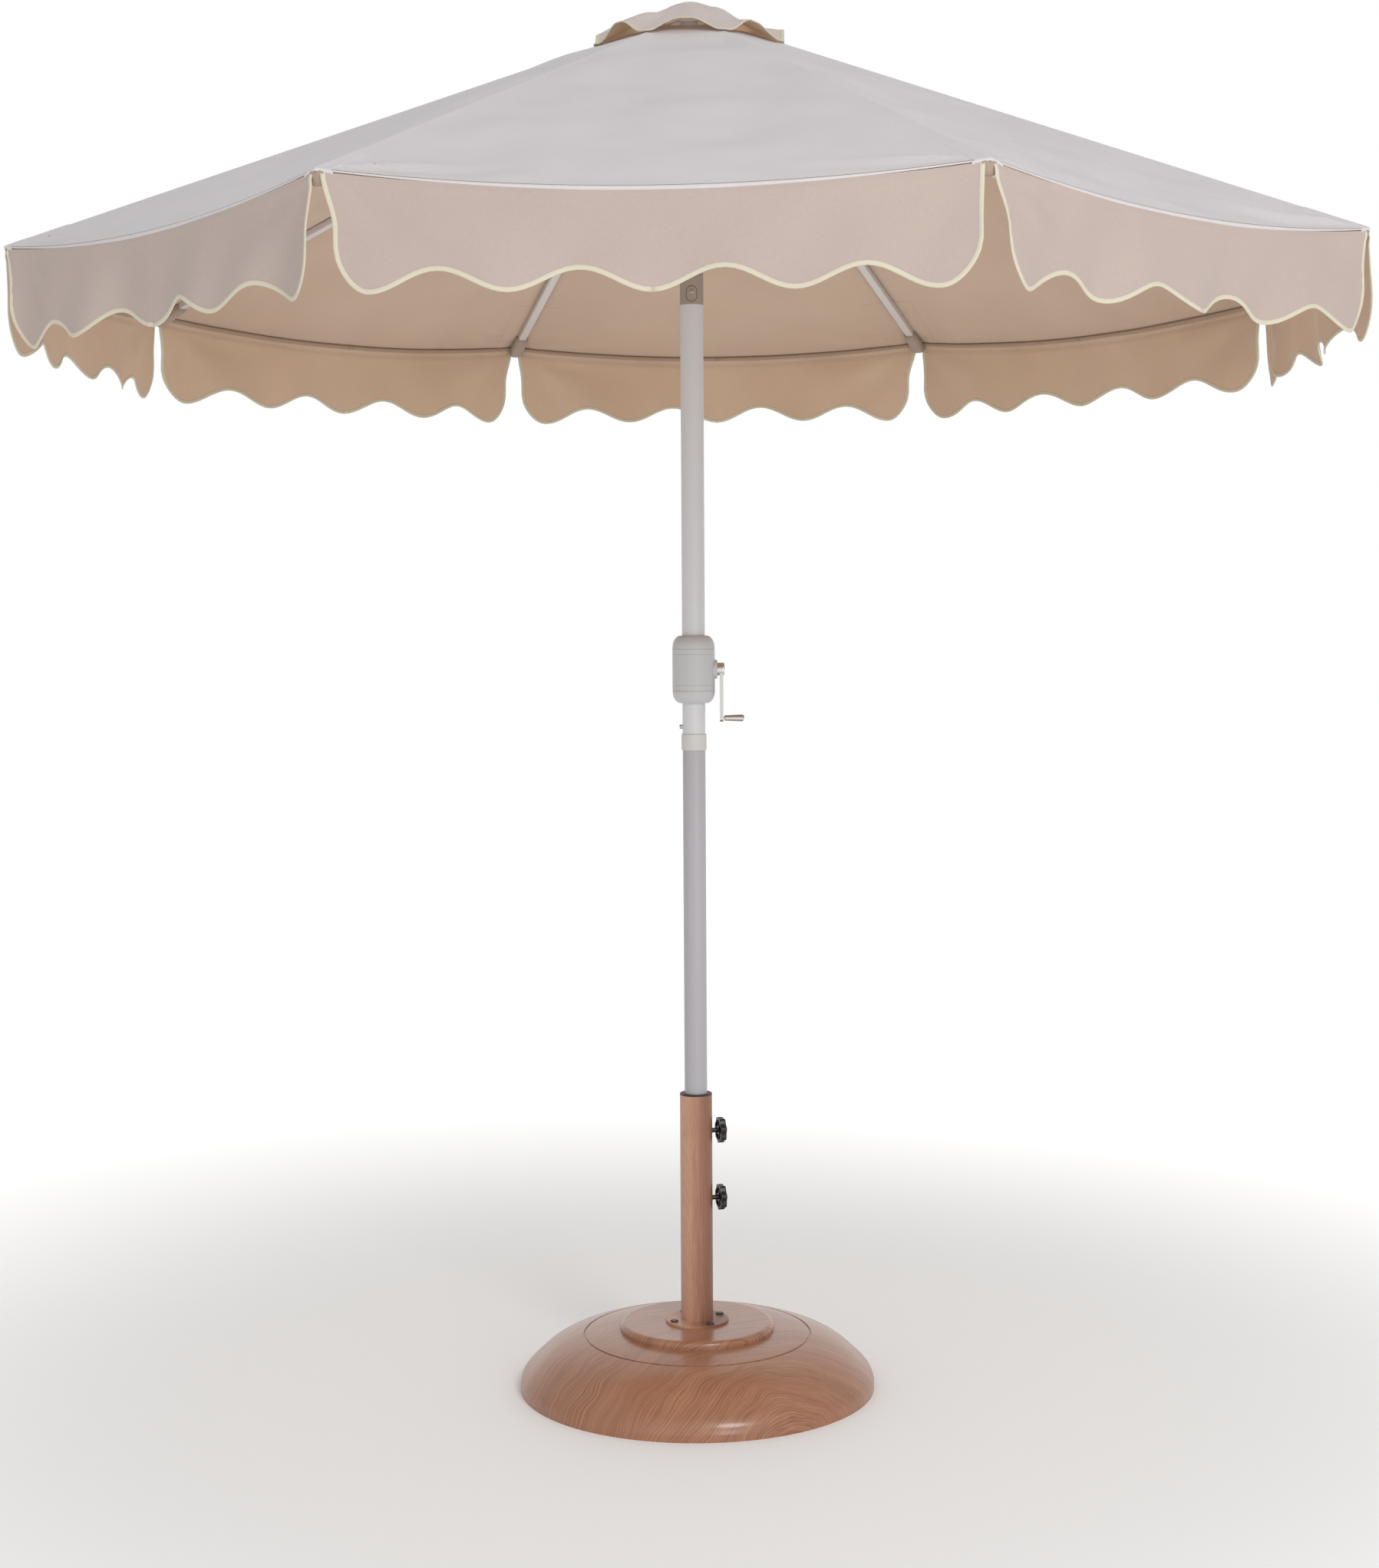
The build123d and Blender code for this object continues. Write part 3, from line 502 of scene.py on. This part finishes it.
def tube_mesh(name, sections, material):
    """A closed tube through a list of cross-sections, each a ring of points."""
    rings = np.array(sections)
    length, around = rings.shape[:2]
    index = np.arange(length * around).reshape(length, around)
    following = np.roll(index, -1, axis=1)
    corners = (index[:-1], index[1:], following[1:], following[:-1])
    everything = np.stack([corner.ravel() for corner in corners], axis=1).tolist()
    everything.append(index[0].tolist())
    everything.append(index[-1][::-1].tolist())
    mesh = bpy.data.meshes.new(name)
    mesh.from_pydata(rings.reshape(-1, 3).tolist(), [], everything)
    mesh.materials.append(material)
    mesh.polygons.foreach_set("use_smooth", np.ones(len(everything), dtype=bool))
    mesh.update()
    made = bpy.data.objects.new(name, mesh)
    bpy.context.scene.collection.objects.link(made)
    return made


def grid_normals(points):
    """Unit normals of a grid of points, rows crossed with columns."""
    down = np.gradient(points, axis=0)
    along = np.gradient(points, axis=1)
    found = np.cross(down, along)
    return found / np.maximum(np.linalg.norm(found, axis=2, keepdims=True), TINY)


def sines(seed, count, shortest, longest):
    """Seeded plane waves: wave numbers in x and y, phases, and heights that grow with the wavelength."""
    chance = np.random.default_rng(seed)
    wavelengths = np.exp(chance.uniform(np.log(shortest), np.log(longest), count))
    angles = chance.uniform(0, 2 * pi, count)
    phases = chance.uniform(0, 2 * pi, count)
    heights = (wavelengths / longest) ** 1.3
    heights /= np.sqrt((heights ** 2).sum() / 2)
    return 2 * pi / wavelengths * np.cos(angles), 2 * pi / wavelengths * np.sin(angles), phases, heights


def ripple(waves, x, y):
    """The sum of plane waves at x, y."""
    total = np.zeros_like(x)
    for kx, ky, phase, height in zip(*waves):
        total += height * np.sin(kx * x + ky * y + phase)
    return total


CANOPY_WAVES = sines(3, 14, 0.09, 0.45)
CAP_WAVES = sines(9, 9, 0.06, 0.16)
# Heights of the canopy's broad waves, of the seam over a rib (and its half width) and of the corner creases
WAVE_HEIGHT = 0.0029
SEAM_HEIGHT = 0.0007
SEAM_HALF = 0.0045
CREASE_HEIGHT = 0.0100
# For each rib and side: how strong the corner's crease is, how steeply it climbs and how far it reaches
CORNER_CHANCE = np.random.default_rng(21)
CORNER_FOLDS = {
    (number, side): CORNER_CHANCE.uniform([0.7, 0.16, 0.14], [1.35, 0.34, 0.26])
    for number in range(1, RIBS + 1)
    for side in (-1, 1)
}


def canopy_relief(x, y, radius, share, fold):
    """Small heights that make the canopy look like stretched cloth."""
    strength, climb, reach = fold
    loose = smooth(0.02, 0.35, share) * smooth(0.10, 0.24, radius)
    waves = WAVE_HEIGHT * loose * ripple(CANOPY_WAVES, x, y)
    from_corner = share * HALF_CHORD * radius / RIM_R
    inward = RIM_R - radius
    width = 0.007 + 0.11 * from_corner
    place = (inward - 0.006 - climb * from_corner) / width
    crease = 0.75 * np.exp(-((place - 1.5) ** 2)) - np.exp(-(place ** 2))
    window = smooth(0.0, 0.05, from_corner) * np.exp(-from_corner / reach) * (1 - share ** 2) ** 2
    ridge = SEAM_HEIGHT * np.exp(-((from_corner / SEAM_HALF) ** 2))
    free = smooth(0.002, 0.05, inward)
    return ridge + free * (waves + CREASE_HEIGHT * strength * crease * window)


def canopy_surface(number, side, radius, share):
    """Points of the canopy by the radius along a rib and the share from the rib to the panel's middle."""
    angle = rib_azimuth(number)
    across = radius * SIN * COS * share * side
    points = outward(angle) * (radius * (1 - SIN ** 2 * share))[..., None]
    points = points + sideways(angle) * across[..., None]
    sag = RIM_SAG * (radius / RIM_R) ** 2 * share * (2 - share)
    height = APEX_Z - radius * SLOPE - sag
    fold = CORNER_FOLDS[number, side]
    height = height + canopy_relief(points[..., 0], points[..., 1], radius, share, fold)
    return points + UP * height[..., None]


def canopy_half(number, side):
    """One half of the canopy between a rib and the middle of the panel beside it."""
    angle = rib_azimuth(number)
    panel = outward(angle + side * pi / RIBS)
    rows = RIM_R - HEM_START - (RIM_R - HEM_START - VENT_R) * np.linspace(1, 0, 62) ** 1.25
    shares = np.linspace(0, 1, 30) ** 1.35
    radius, share = np.meshgrid(rows, shares, indexing="ij")
    top = canopy_surface(number, side, radius, share)
    step = CANOPY_STEP
    lower = canopy_surface(number, side, radius + step, share)
    upper = canopy_surface(number, side, radius - step, share)
    toward_middle = canopy_surface(number, side, radius, share + step)
    toward_rib = canopy_surface(number, side, radius, np.maximum(share - step, 0.0))
    normals = np.cross(lower - upper, toward_middle - toward_rib) * side
    normals /= np.linalg.norm(normals, axis=2, keepdims=True)
    # The hem rolls over at the rim and tucks under.
    start_angle = radians(24)
    rim = top[-1]
    extra, extra_normals = [], []
    roll = (HEM_ROLL * (0.30 + 0.42 * smooth(0.02, 0.8, shares)))[:, None]
    for turn in np.linspace(radians(36), radians(135), HEM_STEPS):
        out = roll * (sin(turn) - sin(start_angle))
        fall = roll * (cos(start_angle) - cos(turn))
        extra.append(rim + panel * out - UP * fall)
        extra_normals.append(np.broadcast_to(panel * sin(turn) + UP * cos(turn), rim.shape))
    rim_shadow_line(number, side, rim, normals[-1], top[-2] - top[-1])
    rim_hem(number, side, top[-2] - normals[-2] * CLOTH)
    outer = np.concatenate([top, np.array(extra)])
    normals = np.concatenate([normals, np.array(extra_normals)])
    inner = outer - normals * CLOTH
    hem_lengths = np.repeat(radius[-1:], HEM_STEPS, axis=0) + np.linspace(0.002, 0.012, HEM_STEPS)[:, None]
    lengths = np.concatenate([radius, hem_lengths])
    widths = np.concatenate([share, np.repeat(share[-1:], HEM_STEPS, axis=0)])
    uv = np.stack([widths * lengths * SIN, lengths], axis=2)
    if side < 0:
        outer, inner, normals, uv = (grid[:, ::-1] for grid in (outer, inner, normals, uv))
    which = "left" if side < 0 else "right"
    made = close_sheet(f"canopy_{number}_{which}", outer, inner, normals, uv, [canopy_top, canopy_under])
    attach(made, f"rib_{number}")
    squash_half(made, number, side)
    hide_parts(f"canopy_{number}")


def cap_height(radius):
    """The height of the vent cap over a rib: the CAD's line, puffed up in the middle."""
    return CAP_TOP - CAP_DROP * (radius / CAP_R) ** CAP_POWER + CAP_PUFF * (1 - smooth(0.0, 0.13, radius))


def cap_sector(number):
    """The part of the vent cap over one rib, touching the canopy at the rib and arched between."""
    angle = rib_azimuth(number)
    rows = np.linspace(CAP_INNER_R, CAP_R, 26)
    shares = np.linspace(-1, 1, 49)
    radius, share = np.meshgrid(rows, shares, indexing="ij")

    def surface(radius, share):
        points = (
            outward(angle) * (radius * (1 - SIN ** 2 * np.abs(share)))[..., None]
            + sideways(angle) * (radius * SIN * COS * share)[..., None]
        )
        outer_part = (radius / CAP_R) ** 2
        lift = CAP_LIFT * outer_part * smooth(0.16, 0.92, np.abs(share))
        height = cap_height(radius) + lift
        loose = smooth(0.04, 0.11, radius)
        creased = CAP_CREASE * loose * smooth(0.05, 0.5, np.abs(share))
        height = height + creased * ripple(CAP_WAVES, points[..., 0], points[..., 1])
        height = height + CAP_CLEARANCE * loose
        return points + UP * height[..., None]

    outer = surface(radius, share)
    step = CAP_STEP
    down = surface(radius + step, share) - surface(radius - step, share)
    along = surface(radius, share + step) - surface(radius, share - step)
    normals = np.cross(down, along)
    normals /= np.linalg.norm(normals, axis=2, keepdims=True)
    inner = outer - normals * CLOTH
    uv = np.stack([share * radius * SIN, radius], axis=2)
    made = close_sheet(f"vent_cap_{number}", outer, inner, normals, uv, [cap_face, cap_under])
    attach(made, f"rib_{number}")
    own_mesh(made)
    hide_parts(f"canopy_{number}")
    edge = bound_edge(f"vent_cap_binding_{number}", outer[::-1], normals[::-1])
    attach(edge, f"rib_{number}")
    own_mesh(edge)


def bound_edge(name, points, normals):
    """Binding tape folded over the first row of a grid of points."""
    line, normal = points[0], normals[0]
    run = np.gradient(line, axis=0)
    run /= np.linalg.norm(run, axis=1, keepdims=True)
    inward = np.cross(normal, run)
    toward = points[1] - points[0]
    inward *= np.sign((inward * toward).sum(axis=1, keepdims=True))
    return tape(name, line, inward, normal)


def tape(name, line, inward, normal):
    """A folded tape along a line: it covers both faces of the cloth for its width."""
    profile = [
        (-0.0007, -0.5), (-0.0004, 0.4), (0.0006, 1.0), (BINDING - 0.0006, 0.9), (BINDING, 0.1),
        (BINDING, -1.1), (BINDING - 0.0006, -1.9), (0.0006, -2.0), (-0.0004, -1.4),
    ]
    rings = []
    for point, into, out in zip(line, inward, normal):
        rings.append([point + into * a + out * (b * BINDING_RISE) for a, b in profile])
    made = tube_mesh(name, rings, binding)
    return made


# For each panel: two wavelengths with their phases, and the height of its waves
VALANCE_CHANCE = np.random.default_rng(5)
VALANCE_WAVES = {
    number: VALANCE_CHANCE.uniform([0.30, 0, 0.12, 0, 0.7], [0.44, 2 * pi, 0.17, 2 * pi, 1.2])
    for number in range(1, RIBS + 1)
}
# How far each side edge stands back from its rib at the bottom
VALANCE_RETREATS = {
    (number, side): VALANCE_CHANCE.uniform(0.006, 0.016)
    for number in range(1, RIBS + 1)
    for side in (-1, 1)
}
# Edges at the two corners nearest the front, set one by one
VALANCE_RETREATS[1, 1] = 0.014
VALANCE_RETREATS[2, -1] = 0.002
VALANCE_RETREATS[2, 1] = 0.017
# How far each side edge curls outward
VALANCE_CURLS = {
    (number, side): VALANCE_CHANCE.uniform(-0.004, 0.011)
    for number in range(1, RIBS + 1)
    for side in (-1, 1)
}


# The front panel hangs calmer than the rest. The heights are of the long waves, the short ones and the
# pulls from a corner.
FRONT_PANEL = 1
FRONT_CALM = 0.8
SWAY = 0.0130
SHORT_SWAY = 0.0050
PULL_HEIGHT = 0.0075


def valance_half(number, side):
    """Half of a valance panel, from its middle to the rib's corner."""
    panel_number = number if side > 0 else (number - 2) % RIBS + 1
    angle = rib_azimuth(number) + side * pi / RIBS
    out, along = outward(angle), sideways(angle)
    long_wave, long_phase, short_wave, short_phase, amount = VALANCE_WAVES[panel_number]
    if panel_number == FRONT_PANEL:
        amount *= FRONT_CALM
    curl = VALANCE_CURLS[number, side]
    reach = HALF_CHORD - GAP_TOP

    def surface(part, fall):
        """Points by part, 0 at the panel's middle to 1 at the corner, and fall, 0 at the top to 1 below."""
        flat = part * reach
        drop = VALANCE_DROP + VALANCE_WAVE * np.cos(2 * pi * flat / VALANCE_PITCH)
        into_corner = np.clip((VALANCE_CORNER - (reach - flat)) / VALANCE_CORNER, 0, 1)
        drop = drop - VALANCE_CORNER * 0.8 * (1 - np.sqrt(1 - 0.9999 * into_corner ** 2))
        share = 1 - flat / HALF_CHORD
        top = RIM_Z - VALANCE_INSET - RIM_SAG * share * (2 - share)
        low = RIM_Z - drop
        height = top + (low - top) * fall
        deep = top - height
        retreat = VALANCE_RETREATS[number, side] * smooth(0.0, 0.07, deep) * part ** 6
        place = -side * (flat - retreat)
        hang = np.clip(deep / VALANCE_DROP, 0, 1.3)
        sway = SWAY * amount * np.sin(2 * pi * place / long_wave + long_phase)
        sway = sway + SHORT_SWAY * amount * np.sin(2 * pi * place / short_wave + short_phase + 2 * hang)
        bulge = sway * hang ** 0.8 * (1 - 0.5 * part ** 4)
        bulge = bulge + curl * np.exp((flat - reach) / 0.022) * smooth(0.01, 0.09, deep)
        from_corner = np.maximum(reach - flat, 0.0)
        distance = np.hypot(from_corner, deep)
        slant = np.arctan2(deep, from_corner + 0.004)
        pull = smooth(0.02, 0.07, distance) * np.exp(-distance / 0.13) * smooth(0, 0.3, hang)
        pull = pull * smooth(0, 0.2, 1 - part) * smooth(0, 0.3, 1 - part) * smooth(0, 0.3, part)
        bulge = bulge + PULL_HEIGHT * amount * pull * np.sin(7.0 * slant + long_phase + side)
        bulge = bulge + 0.0014 * np.exp(-((deep - 0.008) / 0.005) ** 2)
        from_axis = APOTHEM - VALANCE_INSET + bulge
        return out * from_axis[..., None] + along * place[..., None] + UP * height[..., None]

    parts = 1 - (1 - np.linspace(0, 1, 46)) ** 1.3
    falls = np.linspace(0, 1, 26)
    fall, part = np.meshgrid(falls, parts, indexing="ij")
    outer = surface(part, fall)
    step = VALANCE_STEP
    down = surface(part, fall + step) - surface(part, fall - step)
    sideward = surface(np.minimum(part + step, 1.0), fall) - surface(part - step, fall)
    normals = np.cross(down, sideward) * -side
    normals /= np.linalg.norm(normals, axis=2, keepdims=True)
    uv = np.stack([part * reach, fall * VALANCE_DROP], axis=2)
    if side > 0:
        outer, normals, uv = (grid[:, ::-1] for grid in (outer, normals, uv))
    inner = outer - normals * CLOTH
    which = "left" if side < 0 else "right"
    made = close_sheet(f"valance_{number}_{which}", outer, inner, normals, uv, [valance_face, valance_back])
    edge_line, edge_normals, edge_inward = edge_of(outer, normals, side)
    edge = tape(f"valance_binding_{number}_{which}", edge_line, edge_inward, edge_normals)
    for piece in (made, edge):
        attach(piece, f"valance_{number}")
        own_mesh(piece)
    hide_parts(f"valance_{number}")


def edge_of(outer, normals, side):
    """The line down a half panel's corner side and along its bottom, with the directions into the cloth."""
    corner = 0 if side > 0 else -1
    step = 1 if side > 0 else -1
    down_line = outer[:-1, corner]
    bottom_line = outer[-1, ::step]
    line = np.concatenate([down_line, bottom_line])
    found = np.concatenate([normals[:-1, corner], normals[-1, ::step]])
    run = np.gradient(line, axis=0)
    run /= np.linalg.norm(run, axis=1, keepdims=True)
    inward = np.cross(found, run)
    centre = outer.mean(axis=(0, 1))
    sign = np.sign((inward * (centre - line)).sum(axis=1).mean())
    return line, found, inward * sign


def rim_shadow_line(number, side, line, normals, inward):
    """A dark brown line along the crease of the hem, where the fold is stitched: painted shadow in the fold."""
    inward = inward / np.linalg.norm(inward, axis=1, keepdims=True)
    profile = ((0.0012, -0.0004), (0.0008, 0.0003), (-0.0002, 0.0003), (-0.0007, -0.0004))
    sections = [[p + into * a + up * b for a, b in profile] for p, into, up in zip(line, inward, normals)]
    finish_rim_piece("rim_crease_shadow", number, side, sections, crease_shadow_cloth)


def rim_hem(number, side, line):
    """The doubled hem inside the rim, where the valance is sewn on."""
    panel = outward(rib_azimuth(number) + side * pi / RIBS)
    profile = ((0.0040, -0.0034), (0.0040, -0.0068), (0.0010, -0.0076), (-0.0028, -0.0048),
               (-0.0032, -0.0004))
    sections = [[point + panel * out + UP * up for out, up in profile] for point in line]
    finish_rim_piece("rim_hem", number, side, sections, hem_cloth)


def finish_rim_piece(kind, number, side, sections, material):
    """A long piece along the rim of a half panel."""
    if side > 0:
        sections = sections[::-1]
    which = "left" if side < 0 else "right"
    made = tube_mesh(f"{kind}_{number}_{which}", sections, material)
    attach(made, f"rib_{number}")
    squash_half(made, number, side)


def squash_half(made, number, side):
    """Give a piece of a half panel a mesh of its own; the pull toward the panel's middle is worked out but not
    used.
    """
    angle = rib_azimuth(number)
    corner_rim = outward(angle) * RIM_R + UP * RIM_Z
    middle_rim = outward(angle + side * pi / RIBS) * APOTHEM + UP * (RIM_Z - RIM_SAG)
    rail = outward(angle) - UP * SLOPE
    rail /= np.linalg.norm(rail)
    pull = middle_rim - corner_rim
    pull -= rail * (pull @ rail)
    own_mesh(made)


def corner_patch(number):
    """The patch sewn over the end of a rib, with a rounded upper end; it turns down over the corner."""
    angle = rib_azimuth(number)
    out, along = outward(angle), sideways(angle)
    down, across = np.meshgrid(np.linspace(0, 1, 30), np.linspace(-1, 1, 25), indexing="ij")
    radius = RIM_R - HEM_START - PATCH_LENGTH * (1 - down)
    width = PATCH_HALF * np.sqrt(np.clip(1 - (1 - np.clip(down / 0.2, 0, 1)) ** 2, 0.0004, 1))
    y = across * width
    share = np.abs(y) / (radius * SIN * COS)
    left = canopy_surface(number, -1, radius, share)
    right = canopy_surface(number, 1, radius, share)
    top = np.where((y < 0)[..., None], left, right)
    edge = np.maximum(np.abs(across), 1 - np.clip(down / 0.1, 0, 1))
    lift = 0.0010 - 0.0020 * edge ** 8
    lift = lift + 0.0005 * np.sin(across * 8.0 + number) * smooth(0.6, 0.8, down) * smooth(1.0, 0.85, down)
    top = top + UP * lift[..., None]
    toward = out + along * (0.38 * across[-1])[:, None]
    toward /= np.linalg.norm(toward, axis=1, keepdims=True)
    start_angle = radians(22)
    fold = []
    for turn in np.linspace(radians(35), radians(125), HEM_STEPS):
        fold.append(top[-1] + toward * PATCH_FOLD_R * (sin(turn) - sin(start_angle))
                    - UP * PATCH_FOLD_R * (cos(start_angle) - cos(turn)))
    outer = np.concatenate([top, np.array(fold)])
    normals = grid_normals(outer)
    inner = outer - normals * PATCH_CLOTH
    uv = np.stack([outer @ along, outer @ out], axis=2)
    made = close_sheet(f"corner_patch_{number}", outer, inner, normals, uv, [canopy_top, canopy_top])
    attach(made, f"rib_{number}")


def corner_lining(number):
    """The second layer of cloth under the canopy at a rib's end.

    Its edges rise to the canopy's underside. It fills the notch beside the rib when the canopy is gathered.
    """
    angle = rib_azimuth(number)
    down, across = np.meshgrid(np.linspace(0, 1, 24), np.linspace(-1, 1, 33), indexing="ij")
    radius = RIM_R - LINING_INSET - LINING_LENGTH * (1 - down)
    y = across * LINING_HALF
    share = np.abs(y) / (radius * SIN * COS)
    left = canopy_surface(number, -1, radius, share)
    right = canopy_surface(number, 1, radius, share)
    points = np.where((y < 0)[..., None], left, right)
    normals = grid_normals(points)
    edge = np.maximum(np.abs(across), np.abs(2 * down - 1))
    outer = points - normals * (LINING_DEPTH - LINING_EDGE_RISE * edge ** 8)[..., None]
    inner = outer - normals * LINING_CLOTH
    uv = np.stack([y, radius], axis=2)
    made = close_sheet(f"corner_lining_{number}", outer, inner, normals, uv, [canopy_top, canopy_under],
                       side_slot=1)
    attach(made, f"rib_{number}")


def corner_pocket(number):
    """The sewn pocket that holds the end of a rib."""
    angle = rib_azimuth(number)
    out, along = outward(angle), sideways(angle)
    slope = (out - UP * SLOPE) / hypot(1.0, SLOPE)
    normal = (out * SLOPE + UP) / hypot(SLOPE, 1.0)
    tip = out * (RIM_R - POCKET_INSET) + UP * (RIM_Z + POCKET_INSET * SLOPE - POCKET_DROP)
    sections = []
    for back, wide, deep in ((0.062, 0.0112, 0.0165), (0.042, 0.0126, 0.0180), (0.020, 0.0135, 0.0196),
                             (0.008, 0.0132, 0.0206), (0.002, 0.0120, 0.0200), (0.0, 0.0092, 0.0168)):
        ring = []
        for k in range(POCKET_POINTS):
            turn = 2 * pi * k / POCKET_POINTS
            a = np.sign(cos(turn)) * abs(cos(turn)) ** POCKET_SQUARENESS
            b = np.sign(sin(turn)) * abs(sin(turn)) ** POCKET_SQUARENESS
            below = POCKET_TOP + deep * (1 - b) / 2
            ring.append(tip - slope * back + along * a * wide - normal * below)
        sections.append(ring)
    made = tube_mesh(f"corner_pocket_{number}", sections[::-1], pocket_cloth)
    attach(made, f"rib_{number}")


def crown():
    """The middle of the vent cap, and the shoulder under it that the folded fabric turns over."""
    pivot_r, pivot_z = hypot(*joints["canopy_fold"]["pos_m"][:2]), joints["canopy_fold"]["pos_m"][2]
    profile = [(r, float(cap_height(r)) + 0.0008) for r in np.linspace(0.0005, CROWN_R, 9)]
    for turn in np.radians([22, 35, 48, 60, 72, 84]):
        profile.append((pivot_r + SHOULDER_R * sin(turn), pivot_z + SHOULDER_R * cos(turn)))
    sections = []
    for radius, height in profile:
        turns = [2 * pi * k / CROWN_POINTS for k in range(CROWN_POINTS)]
        sections.append([(radius * cos(turn), radius * sin(turn), height) for turn in turns])
    under = [[(x * 0.98, y * 0.98, z - CLOTH) for x, y, z in ring] for ring in sections[::-1]]
    made = tube_mesh("vent_cap_crown", sections + under, cap_face)
    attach(made, "head")
    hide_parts("vent_crown")


for number in range(1, RIBS + 1):
    for side in (-1, 1):
        canopy_half(number, side)
        valance_half(number, side)
    cap_sector(number)
    corner_patch(number)
    corner_lining(number)
    corner_pocket(number)
crown()


# Surroundings

HALF_FLOOR = 30.0
GLOW_NEAR = 0.8
GLOW_FAR = 2.6
WHITE = (1.0, 1.0, 1.0, 1.0)

floor_corners = [(x * HALF_FLOOR, y * HALF_FLOOR, 0) for x, y in ((-1, -1), (1, -1), (1, 1), (-1, 1))]
floor_mesh = bpy.data.meshes.new("floor")
floor_mesh.from_pydata(floor_corners, [], [(0, 1, 2, 3)])
floor = bpy.data.objects.new("floor", floor_mesh)
bpy.context.scene.collection.objects.link(floor)
# A pale floor that fades to the white of the studio away from the object
floor_look = Look("floor_white", (0.93, 0.93, 0.93, 1.0), 0.75)
floor_place = floor_look.node("ShaderNodeVectorMath", operation="LENGTH")
floor_look.link(floor_look.coordinates(), floor_place.inputs[0])
away = smoothed(floor_look, floor_place.outputs["Value"], GLOW_NEAR, GLOW_FAR)
floor_glow = floor_look.math("MULTIPLY", away, 0.38)
floor_glow = floor_look.math("ADD", floor_glow, 0.03)
floor_look.set("Emission Color", WHITE)
floor_look.link(floor_glow, floor_look.shader.inputs["Emission Strength"])
floor_mesh.materials.append(floor_look.material)

scene = bpy.context.scene
scene.view_settings.view_transform = "Standard"
scene.view_settings.look = "None"

world = bpy.data.worlds.new("studio")
world.use_nodes = True
scene.world = world
world_nodes = world.node_tree.nodes
world_links = world.node_tree.links


def faded(value, start, end, start_value, end_value):
    """A value of the sky that changes evenly between two places."""
    made = world_nodes.new("ShaderNodeMapRange")
    world_links.new(value, made.inputs["Value"])
    made.inputs["From Min"].default_value = start
    made.inputs["From Max"].default_value = end
    made.inputs["To Min"].default_value = start_value
    made.inputs["To Max"].default_value = end_value
    return made.outputs["Result"]


def sky_math(operation, *values):
    made = world_nodes.new("ShaderNodeMath")
    made.operation = operation
    for socket, value in zip(made.inputs, values):
        world_links.new(value, socket)
    return made.outputs[0]


# An even white sky, dimmer overhead and at the sides
background = world_nodes["Background"]
background.inputs["Color"].default_value = WHITE
direction = world_nodes.new("ShaderNodeTexCoord")
split = world_nodes.new("ShaderNodeSeparateXYZ")
world_links.new(direction.outputs["Generated"], split.inputs["Vector"])
overhead = faded(split.outputs["Z"], 0.26, 0.80, 1.0, 0.66)
sides = faded(sky_math("ABSOLUTE", split.outputs["X"]), 0.40, 0.95, 1.0, 0.50)
world_links.new(sky_math("MULTIPLY", overhead, sides), background.inputs["Strength"])


def soft_light(name, place, target, size, power):
    """A round white area light that faces a target."""
    data = bpy.data.lights.new(name, "AREA")
    data.shape = "DISK"
    data.size = size
    data.energy = power
    made = bpy.data.objects.new(name, data)
    made.location = place
    made.rotation_mode = "QUATERNION"
    made.rotation_quaternion = (Vector(target) - Vector(place)).to_track_quat("-Z", "Y")
    scene.collection.objects.link(made)


soft_light("key", (2.4, -5.2, 4.6), (0, 0, 1.2), 2.0, 120.0)
soft_light("low_front", (1.6, -4.6, 0.9), (0, 0, 0.4), 1.2, 14.0)

# The camera stands in front, a little right of the middle, and looks slightly down
CAMERA_PLACE = (0.0246, -4.048, 1.290)
CAMERA_LENS = 55.99
CAMERA_PITCH = -0.06722
CAMERA_YAW = -0.00803
CAMERA_ROLL = 0.00562

camera_data = bpy.data.cameras.new("camera")
camera_data.sensor_fit = "AUTO"
camera_data.sensor_width = 36.0
camera_data.lens = CAMERA_LENS
camera = bpy.data.objects.new("camera", camera_data)
pitch, yaw, roll = CAMERA_PITCH, CAMERA_YAW, CAMERA_ROLL
forward = Vector((cos(pitch) * sin(yaw), cos(pitch) * cos(yaw), sin(pitch)))
level_right = Vector((cos(yaw), -sin(yaw), 0.0))
level_up = Vector((-sin(pitch) * sin(yaw), -sin(pitch) * cos(yaw), cos(pitch)))
right = level_right * cos(roll) - level_up * sin(roll)
above = level_right * sin(roll) + level_up * cos(roll)
turn = Matrix((right, above, -forward)).transposed()
camera.matrix_world = Matrix.Translation(CAMERA_PLACE) @ turn.to_4x4()
scene.collection.objects.link(camera)
scene.camera = camera
